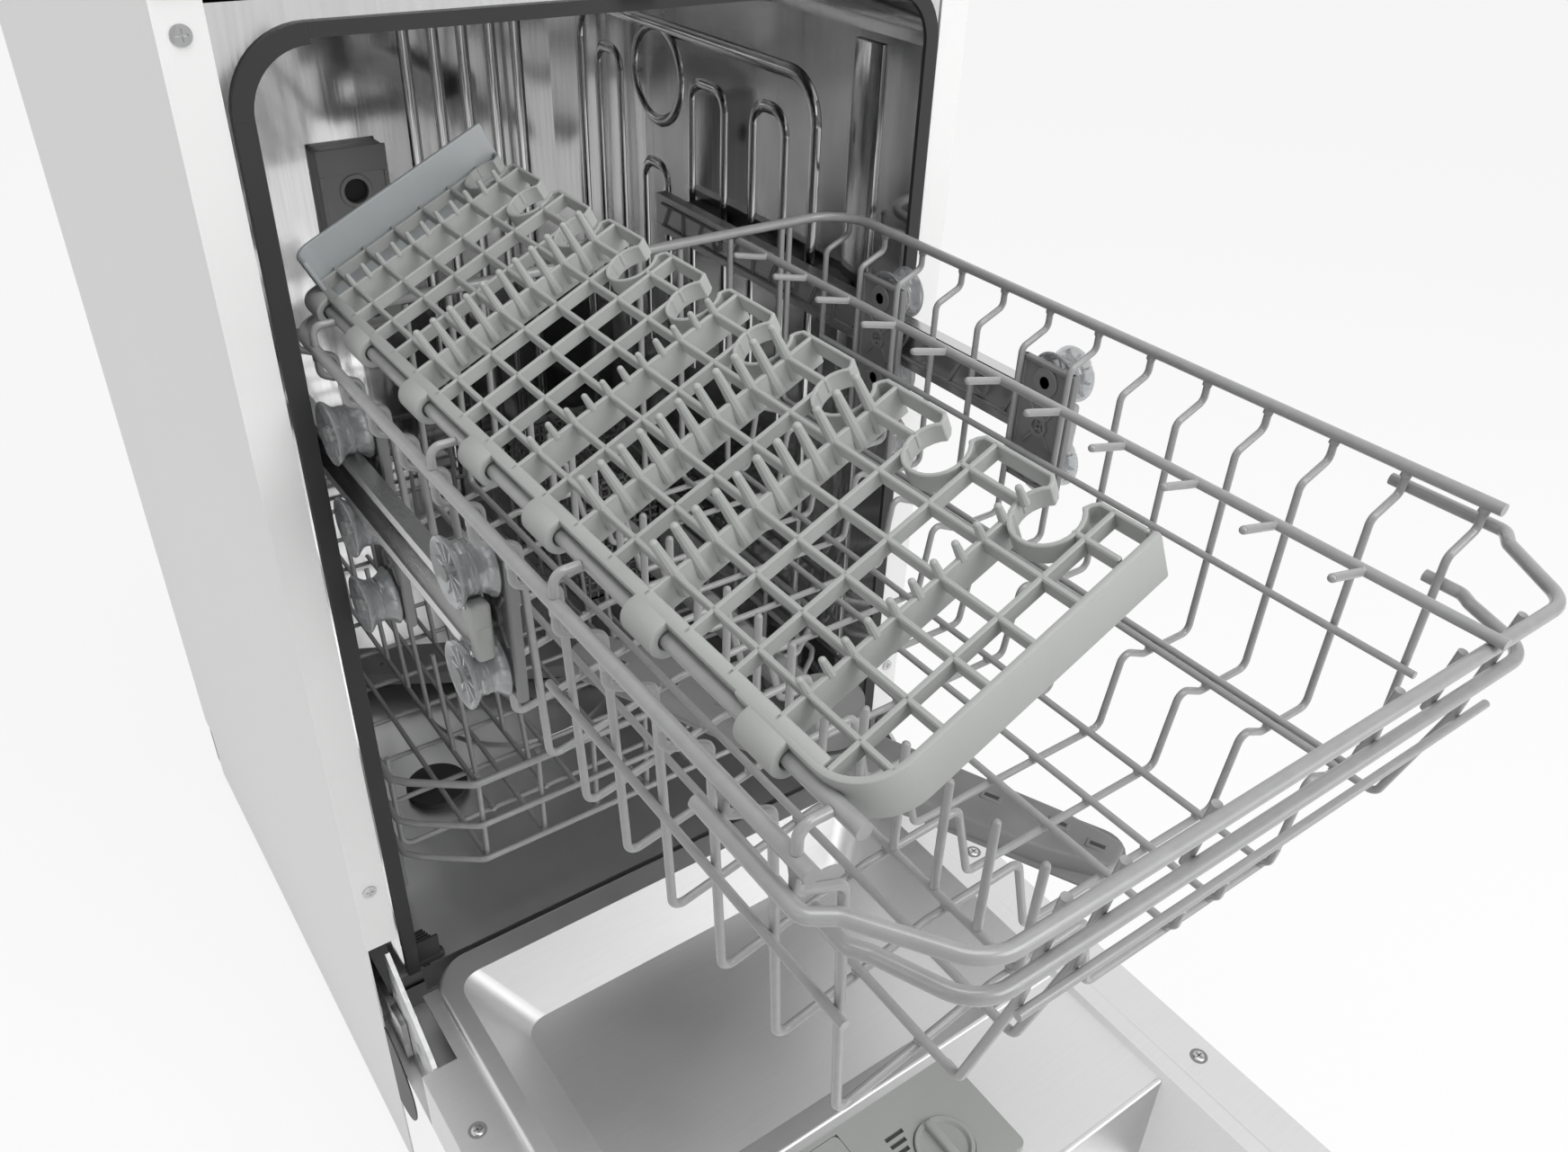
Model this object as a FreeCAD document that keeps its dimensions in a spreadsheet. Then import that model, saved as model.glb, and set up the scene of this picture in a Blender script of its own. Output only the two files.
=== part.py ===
import FreeCAD, Part
import math
import os
import Sketcher
from FreeCAD import Placement, Rotation, Vector

# A freestanding slim dishwasher with its door down and its upper basket drawn out.
# Millimetres, +Z up, +Y to the back. The origin is on the floor under the middle of the cabinet.

doc = FreeCAD.newDocument("slim_dishwasher")
sheet = doc.addObject("Spreadsheet::Sheet", "Sizes")

# Driving dimensions: name, number, meaning
DIMENSIONS = [
    ("cab_width", 448, "cabinet width"),
    ("cab_depth", 545, "cabinet depth without the door"),
    ("cab_height", 850, "height of the worktop above the floor"),
    ("panel_sheet", 1, "painted sheet thickness"),
    ("panel_foot", 5, "gap under the side panels"),
    ("flange_width", 21, "white front flange of a side panel"),
    ("flange_foot", 255, "height where the front flange ends"),
    ("worktop_thick", 18, "worktop thickness"),
    ("touch_gap", 0.05, "gap left between pieces that only touch"),
    ("run_gap", 0.4, "running gap between sliding pieces"),
    ("pin_gap", 0.05, "radial clearance of a pin in its bore"),
    ("tub_width", 392, "tub cavity width"),
    ("tub_depth", 504, "tub cavity depth"),
    ("tub_floor", 212, "tub floor above the ground"),
    ("tub_head", 17, "gap between the tub ceiling and the worktop"),
    ("tub_sheet", 1.5, "tub wall"),
    ("tub_corner", 38, "rounding of the upper tub corners"),
    ("tub_flange", 14, "tub front flange width"),
    ("gasket_width", 9, "door gasket width"),
    ("gasket_reach", 4, "gasket overlap into the tub mouth"),
    ("hinge_height", 192, "door hinge axis above the floor"),
    ("hinge_ahead", 17, "door hinge axis ahead of the cabinet front"),
    ("hinge_pin", 4, "door hinge pin radius"),
    ("door_inset", 2, "door edge inside the cabinet side"),
    ("door_over", 13, "door top edge above the tub ceiling when shut"),
    ("door_tail", 39, "outer door skin past the hinge axis"),
    ("door_body", 55, "door from the outer face to the sealing band"),
    ("door_sheet", 1.2, "door sheet"),
    ("door_gap", 2, "shut gap between cabinet front and sealing band"),
    ("plateau_rise", 5, "raised inner face above the sealing band"),
    ("plateau_width", 378, "width of the raised inner face"),
    ("recess_width", 350, "width of the door recess at its brim"),
    ("recess_depth", 44, "depth of the door recess"),
    ("plateau_margin", 27, "raised inner face short of the door's top edge"),
    ("rail_height", 30, "basket rail height"),
    ("rail_width", 9, "basket rail width"),
    ("rail_length", 446, "basket rail length"),
    ("rail_sheet", 1.5, "basket rail sheet"),
    ("rail_drop", 63.5, "basket rim down to the middle of the rail"),
    ("rail_half_width", 180, "basket rail from the middle plane"),
    ("rail_out", 160, "rail front end ahead of the cabinet front when drawn"),
    ("rail_travel", 218, "rail travel"),
    ("groove_radius", 12, "spool wheel radius in its groove"),
    ("spool_radius", 16.5, "spool wheel rim radius"),
    ("spool_width", 18, "spool wheel width"),
    ("axle_radius", 3, "spool wheel axle radius"),
    ("rim_half_width", 182, "basket rim wire from the middle plane"),
    ("rim_drop", 148, "tub ceiling down to the basket rim wire"),
    ("rim_radius", 3, "basket rim wire radius"),
    ("wire_radius", 1.9, "basket wire radius"),
    ("wire_pitch", 36.5, "basket cross wire pitch"),
    ("wire_count", 13, "number of basket cross wires"),
    ("basket_out", 400, "basket rim front end ahead of the cabinet front when drawn"),
    ("basket_travel", 436, "basket travel from drawn to home"),
    ("basket_depth", 167, "basket rim down to the low basket floor"),
    ("ledge_drop", 129, "basket rim down to the right basket ledge"),
    ("handle_radius", 2.9, "basket handle bar radius"),
    ("rack_half_width", 168, "rack rod from the middle plane"),
    ("rack_rise", 12.7, "rack rod above the basket rim"),
    ("rack_width", 121, "cup rack width from the rod"),
    ("rack_length", 452, "cup rack length"),
    ("rack_tilt", 26, "cup rack tilt at rest, degrees"),
    ("rack_bar", 2.2, "cup rack bar thickness"),
    ("rack_deck", 7.5, "top of the cup rack above the rod"),
    ("spike_length", 21, "cup rack spike length"),
    ("arm_reach", 172, "upper spray arm length from its hub"),
    ("arm_angle", 25, "upper spray arm turned from the front, degrees"),
    ("low_half_width", 176, "lower basket rim from the middle plane"),
    ("low_rim_rise", 133, "lower basket rim above the tub floor"),
    ("low_floor_rise", 54, "lower basket floor wires above the tub floor"),
    ("low_length", 452, "lower basket length"),
    ("low_wheel", 20, "lower basket wheel radius"),
    ("cutlery_height", 120, "cutlery basket height"),
    ("low_arm_reach", 176, "lower spray arm length from its hub"),
    ("button_travel", 2, "control button travel"),
]

for row, (alias, number, meaning) in enumerate(DIMENSIONS, 1):
    sheet.set(f"A{row}", meaning)
    sheet.set(f"B{row}", str(number))
    sheet.setAlias(f"B{row}", alias)
doc.recompute()


class Size:
    """A number together with the spreadsheet expression that gives it."""

    def __init__(self, number, text):
        self.number = float(number)
        self.text = text

    def __float__(self):
        return self.number

    def __neg__(self):
        return Size(-self.number, f"(-{self.text})")

    def __add__(self, other):
        other = as_size(other)
        return Size(self.number + other.number, f"({self.text} + {other.text})")

    def __sub__(self, other):
        other = as_size(other)
        return Size(self.number - other.number, f"({self.text} - {other.text})")

    def __mul__(self, other):
        other = as_size(other)
        return Size(self.number * other.number, f"({self.text} * {other.text})")

    def __truediv__(self, other):
        other = as_size(other)
        return Size(self.number / other.number, f"({self.text} / {other.text})")

    def __radd__(self, other):
        return as_size(other) + self

    def __rsub__(self, other):
        return as_size(other) - self

    def __rmul__(self, other):
        return as_size(other) * self


def as_size(value):
    return value if isinstance(value, Size) else Size(value, repr(float(value)))


def dim(alias):
    return Size(sheet.get(alias), f"Sizes.{alias}")


def bind(obj, **sizes):
    for name, value in sizes.items():
        obj.setExpression(name.replace("__", "."), as_size(value).text)


def place(obj, x, y, z):
    bind(obj, Placement__Base__x=x, Placement__Base__y=y, Placement__Base__z=z)


def box(x, y, z, name="Block"):
    """A block between two places on each axis."""
    obj = doc.addObject("Part::Box", name)
    bind(obj, Length=x[1] - as_size(x[0]), Width=y[1] - as_size(y[0]), Height=z[1] - as_size(z[0]))
    place(obj, x[0], y[0], z[0])
    return obj


TURN = {"x": Rotation(Vector(0, 1, 0), 90), "y": Rotation(Vector(1, 0, 0), -90), "z": Rotation()}


def rod(axis, radius, start, length, name="Rod"):
    """A cylinder from a start point along +x, +y or +z."""
    obj = doc.addObject("Part::Cylinder", name)
    obj.Placement = Placement(Vector(), TURN[axis])
    bind(obj, Radius=radius, Height=length)
    place(obj, *start)
    return obj


def fuse(*objs, name="Joined"):
    obj = doc.addObject("Part::MultiFuse", name)
    obj.Shapes = list(objs)
    obj.Refine = True
    return obj


def cut(base, *tools, name="Trimmed"):
    obj = doc.addObject("Part::Cut", name)
    obj.Base = base
    obj.Tool = tools[0] if len(tools) == 1 else fuse(*tools)
    return obj


def common(first, second):
    obj = doc.addObject("Part::Common", "Shared")
    obj.Base = first
    obj.Tool = second
    return obj


def group(*objs):
    """Several separate solids that share one node."""
    obj = doc.addObject("Part::Compound", "Group")
    obj.Links = list(objs)
    return obj


def rounded(base, radius, wanted):
    """Fillet the edges of a finished object that the test picks."""
    doc.recompute()
    obj = doc.addObject("Part::Fillet", "Rounded")
    obj.Base = base
    size = float(radius)
    obj.Edges = [(i, size, size) for i, edge in enumerate(base.Shape.Edges, 1) if wanted(edge)]
    return obj


def along(axis):
    """A test for straight edges along one axis."""
    direction = {"x": Vector(1, 0, 0), "y": Vector(0, 1, 0), "z": Vector(0, 0, 1)}[axis]

    def test(edge):
        if edge.Curve.TypeId != "Part::GeomLine":
            return False
        return abs(abs(edge.Curve.Direction.dot(direction)) - 1) < 1e-6

    return test


def outline_body(name, plane, points):
    """A body with one closed sketch whose corners are bound to the sheet."""
    body = doc.addObject("PartDesign::Body", name)
    sketch = body.newObject("Sketcher::SketchObject", name + "Outline")
    support = [o for o in body.Origin.OriginFeatures if o.Role == plane][0]
    sketch.AttachmentSupport = [(support, "")]
    sketch.MapMode = "FlatFace"
    count = len(points)
    corners = [Vector(float(u), float(v), 0) for u, v in points]
    for i in range(count):
        sketch.addGeometry(Part.LineSegment(corners[i], corners[(i + 1) % count]), False)
    for i in range(count):
        sketch.addConstraint(Sketcher.Constraint("Coincident", i, 2, (i + 1) % count, 1))
    for i, corner in enumerate(points):
        for kind, value in zip(("DistanceX", "DistanceY"), corner):
            limit = Sketcher.Constraint(kind, -1, 1, i, 1, float(value))
            index = sketch.addConstraint(limit)
            sketch.setExpression(f"Constraints[{index}]", as_size(value).text)
    return body, sketch


def padded_outline(name, plane, points, length):
    body, sketch = outline_body(name, plane, points)
    pad = body.newObject("PartDesign::Pad", name + "Pad")
    pad.Profile = sketch
    bind(pad, Length=length)
    return body


def spun_outline(name, points):
    """A body turned about the sketch's vertical axis, which is world Z of the XZ plane."""
    body, sketch = outline_body(name, "XZ_Plane", points)
    turn = body.newObject("PartDesign::Revolution", name + "Turn")
    turn.Profile = sketch
    turn.ReferenceAxis = (sketch, ["V_Axis"])
    turn.Angle = 360
    return body


def bent_wire(points, bend, radius):
    """A round wire along straight runs joined by tangent arcs, of one bend radius or one for each corner."""
    points = [Vector(*(float(c) for c in p)) for p in points]
    radius = float(radius)
    bends = bend if isinstance(bend, list) else [bend] * (len(points) - 2)
    edges = []
    last = points[0]
    for before, corner, after, bend in zip(points, points[1:], points[2:], bends):
        back = (before - corner).normalize()
        ahead = (after - corner).normalize()
        half = back.getAngle(ahead) / 2
        trim = bend / math.tan(half)
        middle = (back + ahead).normalize()
        centre = corner + middle * (bend / math.sin(half))
        edges.append(Part.LineSegment(last, corner + back * trim).toShape())
        arc = Part.Arc(corner + back * trim, centre - middle * bend, corner + ahead * trim)
        edges.append(arc.toShape())
        last = corner + ahead * trim
    edges.append(Part.LineSegment(last, points[-1]).toShape())
    start = Part.Circle(points[0], (points[1] - points[0]).normalize(), radius)
    ring = Part.Wire([start.toShape()])
    return Part.Wire(edges).makePipeShell([ring], True, False)


def shaped(solids):
    """A node of freely shaped solids."""
    obj = doc.addObject("Part::Feature", "Shaped")
    obj.Shape = solids[0] if len(solids) == 1 else Part.makeCompound(solids)
    return obj


pieces = {}


def piece(node, obj):
    obj.Label = node
    pieces[node] = obj
    return obj


SIDES = {"left": -1, "right": 1}


def span(side, inner, outer):
    """The x places of a slab between two distances from the middle plane, low one first."""
    if side > 0:
        return inner, outer
    return -as_size(outer), -as_size(inner)


# Places that many pieces share
half_width = dim("cab_width") / 2
front = -dim("cab_depth") / 2
rear = dim("cab_depth") / 2
sheet_gap = dim("panel_sheet")
touch = dim("touch_gap")
run_gap = dim("run_gap")
worktop_under = dim("cab_height") - dim("worktop_thick")
panel_top = worktop_under - touch
hinge_y = front - dim("hinge_ahead")
hinge_z = dim("hinge_height")
tub_half = dim("tub_width") / 2
tub_front = front + 1.2
tub_back = tub_front + dim("tub_depth")
tub_floor = dim("tub_floor")
tub_top = worktop_under - dim("tub_head")
tub_middle = tub_back - dim("tub_depth") / 2
lip_start = front + 11
rim_z = tub_top - dim("rim_drop")
rail_middle = rim_z - dim("rail_drop")
sump_radius = 68
base_floor = 15
base_front = front + 74

# Side panels: painted skin with a white return flange along the front, a rear flange and a hose notch
NOTCH = (22, 62)
for side_name, side in SIDES.items():
    inner = half_width - sheet_gap
    skin = box(span(side, inner, half_width), (front, rear), (dim("panel_foot"), panel_top))
    flange_inner = half_width - dim("flange_width")
    flange_z = (dim("flange_foot"), panel_top)
    flange = box(span(side, flange_inner, half_width), (front, front + sheet_gap), flange_z)
    rear_flange = box(span(side, half_width - 14, half_width), (rear - sheet_gap, rear), (140, panel_top))
    notch = box(span(side, inner - 1, half_width + 1), (rear - NOTCH[0], rear + 1), (0, NOTCH[1]))
    piece(f"{side_name}_side_panel", cut(fuse(skin, flange, rear_flange), notch))

# Dark curved guards that close the side panels beside the hinges
guards = []
for side in SIDES.values():
    plate = box(span(side, half_width - sheet_gap, half_width), (front - 42, front - touch), (92, 176))
    bow = rod("x", 42, (-half_width - 5, front, 134), half_width * 2 + 10)
    guards.append(common(plate, bow))
piece("hinge_guards", group(*guards))

panel_inner = half_width - sheet_gap - touch
rear_sheet_back = rear - sheet_gap - touch
rear_sheet_y = (rear_sheet_back - sheet_gap, rear_sheet_back)
rear_sheet = box((-panel_inner, panel_inner), rear_sheet_y, (142, panel_top))
piece("rear_panel", rear_sheet)

worktop_block = box((-half_width, half_width), (front - 2, rear), (worktop_under, dim("cab_height")))
piece("worktop", rounded(worktop_block, 4, along("z")))

# Base pan: a shallow tray with corner posts that carry the tub
pan_half = panel_inner
pan_outer = box((-pan_half, pan_half), (base_front, rear - 4), (base_floor - 3, 58))
pan_inside = box((-pan_half + 3, pan_half - 3), (base_front + 3, rear - 7), (base_floor, 60))
post_top = tub_floor - dim("tub_sheet") - touch
rear_post = rear - 72
posts = []
for side in SIDES.values():
    for y_low in (base_front, rear_post):
        post_x = span(side, pan_half - 82, pan_half)
        posts.append(box(post_x, (y_low, y_low + 30), (base_floor - 1, post_top)))
gland_box = box((-30, 30), (rear - 44, rear - 5), (base_floor - 1, 76))
cord_gland = fuse(gland_box, rod("y", 9, (0, rear - 10, 58), 16))
piece("base_pan", fuse(cut(pan_outer, pan_inside), cord_gland, *posts))

feet = []
for side in SIDES.values():
    for y_foot in (base_front + 25, rear - 40):
        pad = rod("z", 17, (side * (half_width - 34), y_foot, 0), 7)
        stem = rod("z", 4, (side * (half_width - 34), y_foot, 6), base_floor - 9 - touch)
        feet.append(fuse(pad, stem))
piece("levelling_feet", group(*feet))

kick = box((-panel_inner, panel_inner), (base_front - 2 - touch, base_front - touch), (10, 112))
piece("kick_plate", kick)

# Tub: a wrapper sheet bent over the top, a back sheet, a floor sheet with the sump hole and a front frame
tub_sheet = dim("tub_sheet")


def upper(test, z):
    return lambda edge: test(edge) and edge.CenterOfMass.z > z


def tub_form(x_half, y, z, corner):
    """A long block with rounded upper corners."""
    return rounded(box((-x_half, x_half), y, z), corner, upper(along("y"), 500))


frame_back = tub_front + tub_sheet
wrap_front = frame_back + touch
wrapper = cut(
    tub_form(tub_half + tub_sheet, (wrap_front, tub_back), (tub_floor, tub_top + tub_sheet),
             dim("tub_corner") + tub_sheet),
    tub_form(tub_half, (wrap_front - 5, tub_back + 5), (tub_floor - 5, tub_top), dim("tub_corner")))
back_sheet = tub_form(tub_half + tub_sheet, (tub_back + touch, tub_back + touch + tub_sheet),
                      (tub_floor, tub_top + tub_sheet), dim("tub_corner"))
floor_plate = box((-tub_half - tub_sheet, tub_half + tub_sheet), (lip_start, tub_back + tub_sheet),
                  (tub_floor - tub_sheet - touch, tub_floor - touch))
apron_half = tub_half - 8
apron = box((-apron_half, apron_half), (lip_start, lip_start + tub_sheet), (tub_floor - 34, tub_floor - 1))
sump_hole = rod("z", sump_radius, (0, tub_middle, tub_floor - 10), 20)
floor_sheet = fuse(cut(floor_plate, sump_hole), apron)
flange_half = tub_half + dim("tub_flange")
tub_rim = box((-flange_half, flange_half), (tub_front, frame_back),
              (tub_floor + 2, tub_top + dim("tub_flange") - 2))
mouth = tub_form(tub_half, (tub_front - 5, frame_back + 5), (tub_floor - 5, tub_top), dim("tub_corner"))
piece("tub", group(wrapper, back_sheet, floor_sheet, cut(tub_rim, mouth)))

# Rubber gasket round the tub mouth, bead along the floor's edge and ribbed corner blocks
gasket_in = tub_half - dim("gasket_reach")
gasket_out = gasket_in + dim("gasket_width")
gasket_face = front - dim("door_gap") + 0.3
gasket_foot = tub_floor + 30
corner_room = dim("tub_corner")
gasket_top = tub_top + 2.5
gasket_low = tub_top - 4
strip_y = (gasket_face, tub_front - touch)
strips = [box(span(side, gasket_in, gasket_out), strip_y, (gasket_foot, gasket_top - corner_room - touch))
          for side in SIDES.values()]
top_strip_half = gasket_out - corner_room - touch
strips.append(box((-top_strip_half, top_strip_half), strip_y, (gasket_low, gasket_top)))
for side in SIDES.values():
    middle_x = gasket_out - corner_room
    middle_z = gasket_top - corner_room
    inner_turn = corner_room - dim("gasket_width")
    turn = cut(rod("y", corner_room, (side * middle_x, strip_y[0], middle_z), strip_y[1] - strip_y[0]),
               rod("y", inner_turn, (side * middle_x, strip_y[0] - 5, middle_z), 20))
    quarter = box(span(side, middle_x, gasket_out + 5), strip_y, (middle_z, gasket_top + 5))
    strips.append(common(turn, quarter))
piece("door_gasket", group(*strips))

corner_blocks = []
for side in SIDES.values():
    block = box(span(side, gasket_in, gasket_out), strip_y, (tub_floor + 3, gasket_foot - touch))
    grooves = [
        box(span(side, gasket_in - 1, gasket_out + 1), (gasket_face - 1, gasket_face + 1.4),
            (tub_floor + 7 + 5 * i, tub_floor + 9 + 5 * i))
        for i in range(4)
    ]
    corner_blocks.append(cut(block, *grooves))
bead_z = (tub_floor - 5.5, tub_floor + 0.6)
bead = box((-apron_half, apron_half), (lip_start - 5, lip_start - touch), bead_z)
piece("lower_seals", group(rounded(bead, 1.8, along("x")), *corner_blocks))

screw_heights = (worktop_under - 16, dim("flange_foot") + 52)
screw_places = [(side * (half_width - 10), z) for side in SIDES.values() for z in screw_heights]
CROSS_SLOTS = ((2.6, 0.5), (0.5, 2.6))
screws = []
for x, z in screw_places:
    head = rod("y", 4.4, (x, front - 1.1, z), 1.1 - touch)
    cross = [box((x - a, x + a), (front - 2, front - 0.4), (z - b, z + b)) for a, b in CROSS_SLOTS]
    screws.append(cut(head, *cross))
piece("panel_screws", group(*screws))

# Docking block on the back wall with an upper and a lower water port
port_face = tub_back - 12
port_heights = (rim_z - 77, rim_z - 181)
dock = rounded(box((-30, 30), (port_face, tub_back - touch), (rim_z - 201, rim_z - 40)), 5, along("y"))
ports = [rod("y", 11, (0, port_face - 5, z), 12) for z in port_heights]
piece("docking_block", cut(dock, *ports))

# Rail guides: T-shaped shoes on the tub walls that carry the rails
slot_half = dim("rail_height") / 2 - 5.5
guide_places = (front + 85, front + 255)
rail_out_x = dim("rail_half_width") + dim("rail_width") / 2
guides = []
for side in SIDES.values():
    for y_mid in guide_places:
        neck = box(span(side, rail_out_x - 4, tub_half - touch), (y_mid - 14, y_mid + 14),
                   (rail_middle - slot_half + run_gap, rail_middle + slot_half - run_gap))
        head_half = dim("rail_height") / 2 - dim("rail_sheet") - run_gap
        head_x = span(side, rail_out_x - 5, rail_out_x - dim("rail_sheet") - run_gap)
        head = box(head_x, (y_mid - 14, y_mid + 14), (rail_middle - head_half, rail_middle + head_half))
        guides.append(fuse(neck, head))
piece("rail_guides", group(*guides))

# Rails: steel channels open to the tub wall, with return lips
rail_front = front - dim("rail_out")
rail_low = rail_middle - dim("rail_height") / 2
rail_high = rail_middle + dim("rail_height") / 2
for side_name, side in SIDES.items():
    x_in = dim("rail_half_width") - dim("rail_width") / 2
    x_out = rail_out_x
    skin = dim("rail_sheet")
    profile = [
        (x_out, rail_low), (x_in, rail_low), (x_in, rail_high), (x_out, rail_high),
        (x_out, rail_high - 5.5), (x_out - skin, rail_high - 5.5), (x_out - skin, rail_high - skin),
        (x_in + skin, rail_high - skin), (x_in + skin, rail_low + skin), (x_out - skin, rail_low + skin),
        (x_out - skin, rail_low + 5.5), (x_out, rail_low + 5.5),
    ]
    profile = [(side * u, v) for u, v in profile]
    rail = padded_outline(f"{side_name.title()}Rail", "XZ_Plane", profile, dim("rail_length"))
    bind(rail, Placement__Base__y=rail_front + dim("rail_length"))
    piece(f"{side_name}_rail", rail)
    face_block = box(span(side, x_in, x_out), (rail_front - 9, rail_front - touch), (rail_low, rail_high))
    face = rounded(face_block, 2, along("y"))
    plug = box(span(side, x_in + skin + run_gap, x_out - skin - run_gap), (rail_front - 1, rail_front + 10),
               (rail_low + skin + run_gap, rail_high - skin - run_gap))
    piece(f"{side_name}_rail_cap", fuse(face, plug))

# Upper basket, drawn out. Its rim is a bent wire, open at the front
wire = dim("wire_radius")
rim = dim("rim_radius")
rim_x = dim("rim_half_width")
rim_front = front - dim("basket_out")
first_wire = rim_front + 7.5
wire_places = [float(first_wire) + i * float(dim("wire_pitch")) for i in range(int(sheet.get("wire_count")))]
rim_back = wire_places[-1] + 7.5
wall_x = 163.5
jog_low = rim_z - 21
jog_high = rim_z - 13
left_floor = rim_z - 141
basket_low = rim_z - dim("basket_depth")
ledge = rim_z - dim("ledge_drop")
wire_top = rim_z - rim - touch
WIRE_BEND = 5
pair = wire * 2 + touch
HUMP = 8


def cross_wire(y):
    """One wire from the left rim down the wall, over the floor and up to the right rim."""
    return bent_wire(
        [(-rim_x, y, wire_top), (-rim_x, y, jog_high), (-wall_x, y, jog_low), (-wall_x + 6, y, left_floor),
         (-86, y, rim_z - 124), (-36, y, rim_z - 121), (-24, y, basket_low), (104, y, basket_low),
         (111, y, ledge + HUMP), (128, y, ledge), (wall_x, y, ledge), (wall_x, y, jog_low),
         (rim_x, y, jog_high), (rim_x, y, wire_top)],
        WIRE_BEND, wire)


FRONT_LEAN = 0.15
front_foot = rim_front - 15


def front_line(z):
    """The y place of the leaning front wires at a height."""
    return float(front_foot) - FRONT_LEAN * (float(z) - float(basket_low))


handle = dim("handle_radius")
rod_radius = 2.5
prong_rod_z = rim_z - rim - rod_radius - touch
handle_z = prong_rod_z - rod_radius - handle - touch
low_bar_z = handle_z - 25.5
bar_z = rim_z - 67
raised_rods = {-120: rim_z - 131.8, -95: rim_z - 126.1, 132: ledge}
TINE_ROD = -76
short_rods = {TINE_ROD: rim_z - 123.4, 26: basket_low, 55: basket_low, 92: basket_low, 138: ledge}
FOOT_BACK = 8
TIP_RISE = 12
TINE_RISE = 58
basket = [
    bent_wire([(-rim_x, rim_front, rim_z), (-rim_x, rim_back, rim_z), (rim_x, rim_back, rim_z),
               (rim_x, rim_front, rim_z)], 30, rim)
]
basket += [cross_wire(y) for y in wire_places]
for x, z_floor in raised_rods.items():
    z_rod = float(z_floor + pair) + 0.15
    basket.append(bent_wire(
        [(x, rim_back, wire_top), (x, rim_back, z_rod), (x, front_line(z_rod) + FOOT_BACK, z_rod),
         (x, front_line(bar_z), bar_z), (x, front_line(handle_z), handle_z)], WIRE_BEND, wire))
tip_y = wire_places[0] - 4
for x, z_floor in short_rods.items():
    z_rod = float(z_floor + pair) + 0.15
    rise = TINE_RISE if x == TINE_ROD else TIP_RISE
    basket.append(bent_wire(
        [(x, rim_back, wire_top), (x, rim_back, z_rod), (x, tip_y, z_rod), (x, tip_y - 1.5, z_rod + rise)],
        WIRE_BEND, wire))
POST_PLACES = (-53, 48, 89)
post_foot = float(low_bar_z) - 5
for x in POST_PLACES:
    post = [(x, front_line(post_foot), post_foot), (x, front_line(handle_z), handle_z)]
    basket.append(bent_wire(post, WIRE_BEND, wire))


def front_bar(side_x, side_y, z, turn_x, corner_x, radius, bend):
    """A handle bar: along both side walls and across the front."""
    y = front_line(z) - float(radius + wire + touch) - 0.1
    half = [(side_x, side_y, z), (side_x, rim_front - 2, z), (turn_x, rim_front - 8, z), (corner_x, y, z)]
    left = [(-as_size(x), b, c) for x, b, c in half]
    return bent_wire(left + half[::-1], [bend, bend, BAR_CORNER, BAR_CORNER, bend, bend], radius)


BAR_CORNER = 18
handle_side = rim_x + wire + handle + touch
low_bar_side = wall_x + wire + handle + touch
basket.append(front_bar(handle_side, wire_places[1] + 8, handle_z, rim_x - 4, rim_x - 28, handle, 6))
basket.append(front_bar(low_bar_side, wire_places[0] + 8, low_bar_z, wall_x + 0.5, wall_x - 13.5, handle, 6))
bar_y = front_line(bar_z) - float(wire * 2 + touch)
basket.append(bent_wire([(-124, bar_y, bar_z), (150, bar_y, bar_z)], WIRE_BEND, wire))

# Long rods on the side walls, the prong rod and the rack rod with its hooks
side_rod_z = rim_z - 79
right_rod_x = wall_x - pair
right_rod = [(right_rod_x, rim_back - 12, side_rod_z), (right_rod_x, rim_front, side_rod_z)]
basket.append(bent_wire(right_rod, 5, wire))
left_wall = -wall_x + 6 * float(jog_low - side_rod_z) / float(jog_low - left_floor)
basket.append(bent_wire([(left_wall - float(pair), rim_front + 205, side_rod_z),
                         (left_wall - float(pair), rim_front, side_rod_z)], 5, wire))
PRONG_X = 98
prong_rod_front = front_line(handle_z) - 10
basket.append(bent_wire([(PRONG_X, rim_back + 4, prong_rod_z), (PRONG_X, prong_rod_front, prong_rod_z)],
                        5, rod_radius))
PRONGS = 11
for i in range(PRONGS):
    y = float(rim_front) + 10 + i * 41
    basket.append(bent_wire([(PRONG_X - rod_radius - touch, y, prong_rod_z),
                             (PRONG_X - 24, y, prong_rod_z + 5)], 5, wire))
rack_x = -dim("rack_half_width")
rack_z = rim_z + dim("rack_rise")
basket.append(bent_wire([(rack_x, rim_back - 4, rack_z), (rack_x, rim_front - 4, rack_z)], 5, rim))
HOOK_WIRES = (0, 4, 7, 11)
hook_end = rack_x - rim - touch
for i, y in enumerate(wire_places):
    if i in HOOK_WIRES:
        hook = [(-rim_x, y, rim_z + rim + touch), (-rim_x, y, rack_z), (hook_end, y, rack_z)]
        basket.append(bent_wire(hook, WIRE_BEND, wire))
TINES = 16
TINE_PITCH = 25
tine_foot = float(short_rods[TINE_ROD] + pair + wire) + 0.2
for i in range(TINES):
    y = float(wire_places[0]) + 19 + TINE_PITCH * i
    basket.append(bent_wire([(TINE_ROD, y, tine_foot), (TINE_ROD, y, tine_foot + TINE_RISE - 2)], 5, wire))
piece("upper_basket", shaped(basket))

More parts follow.
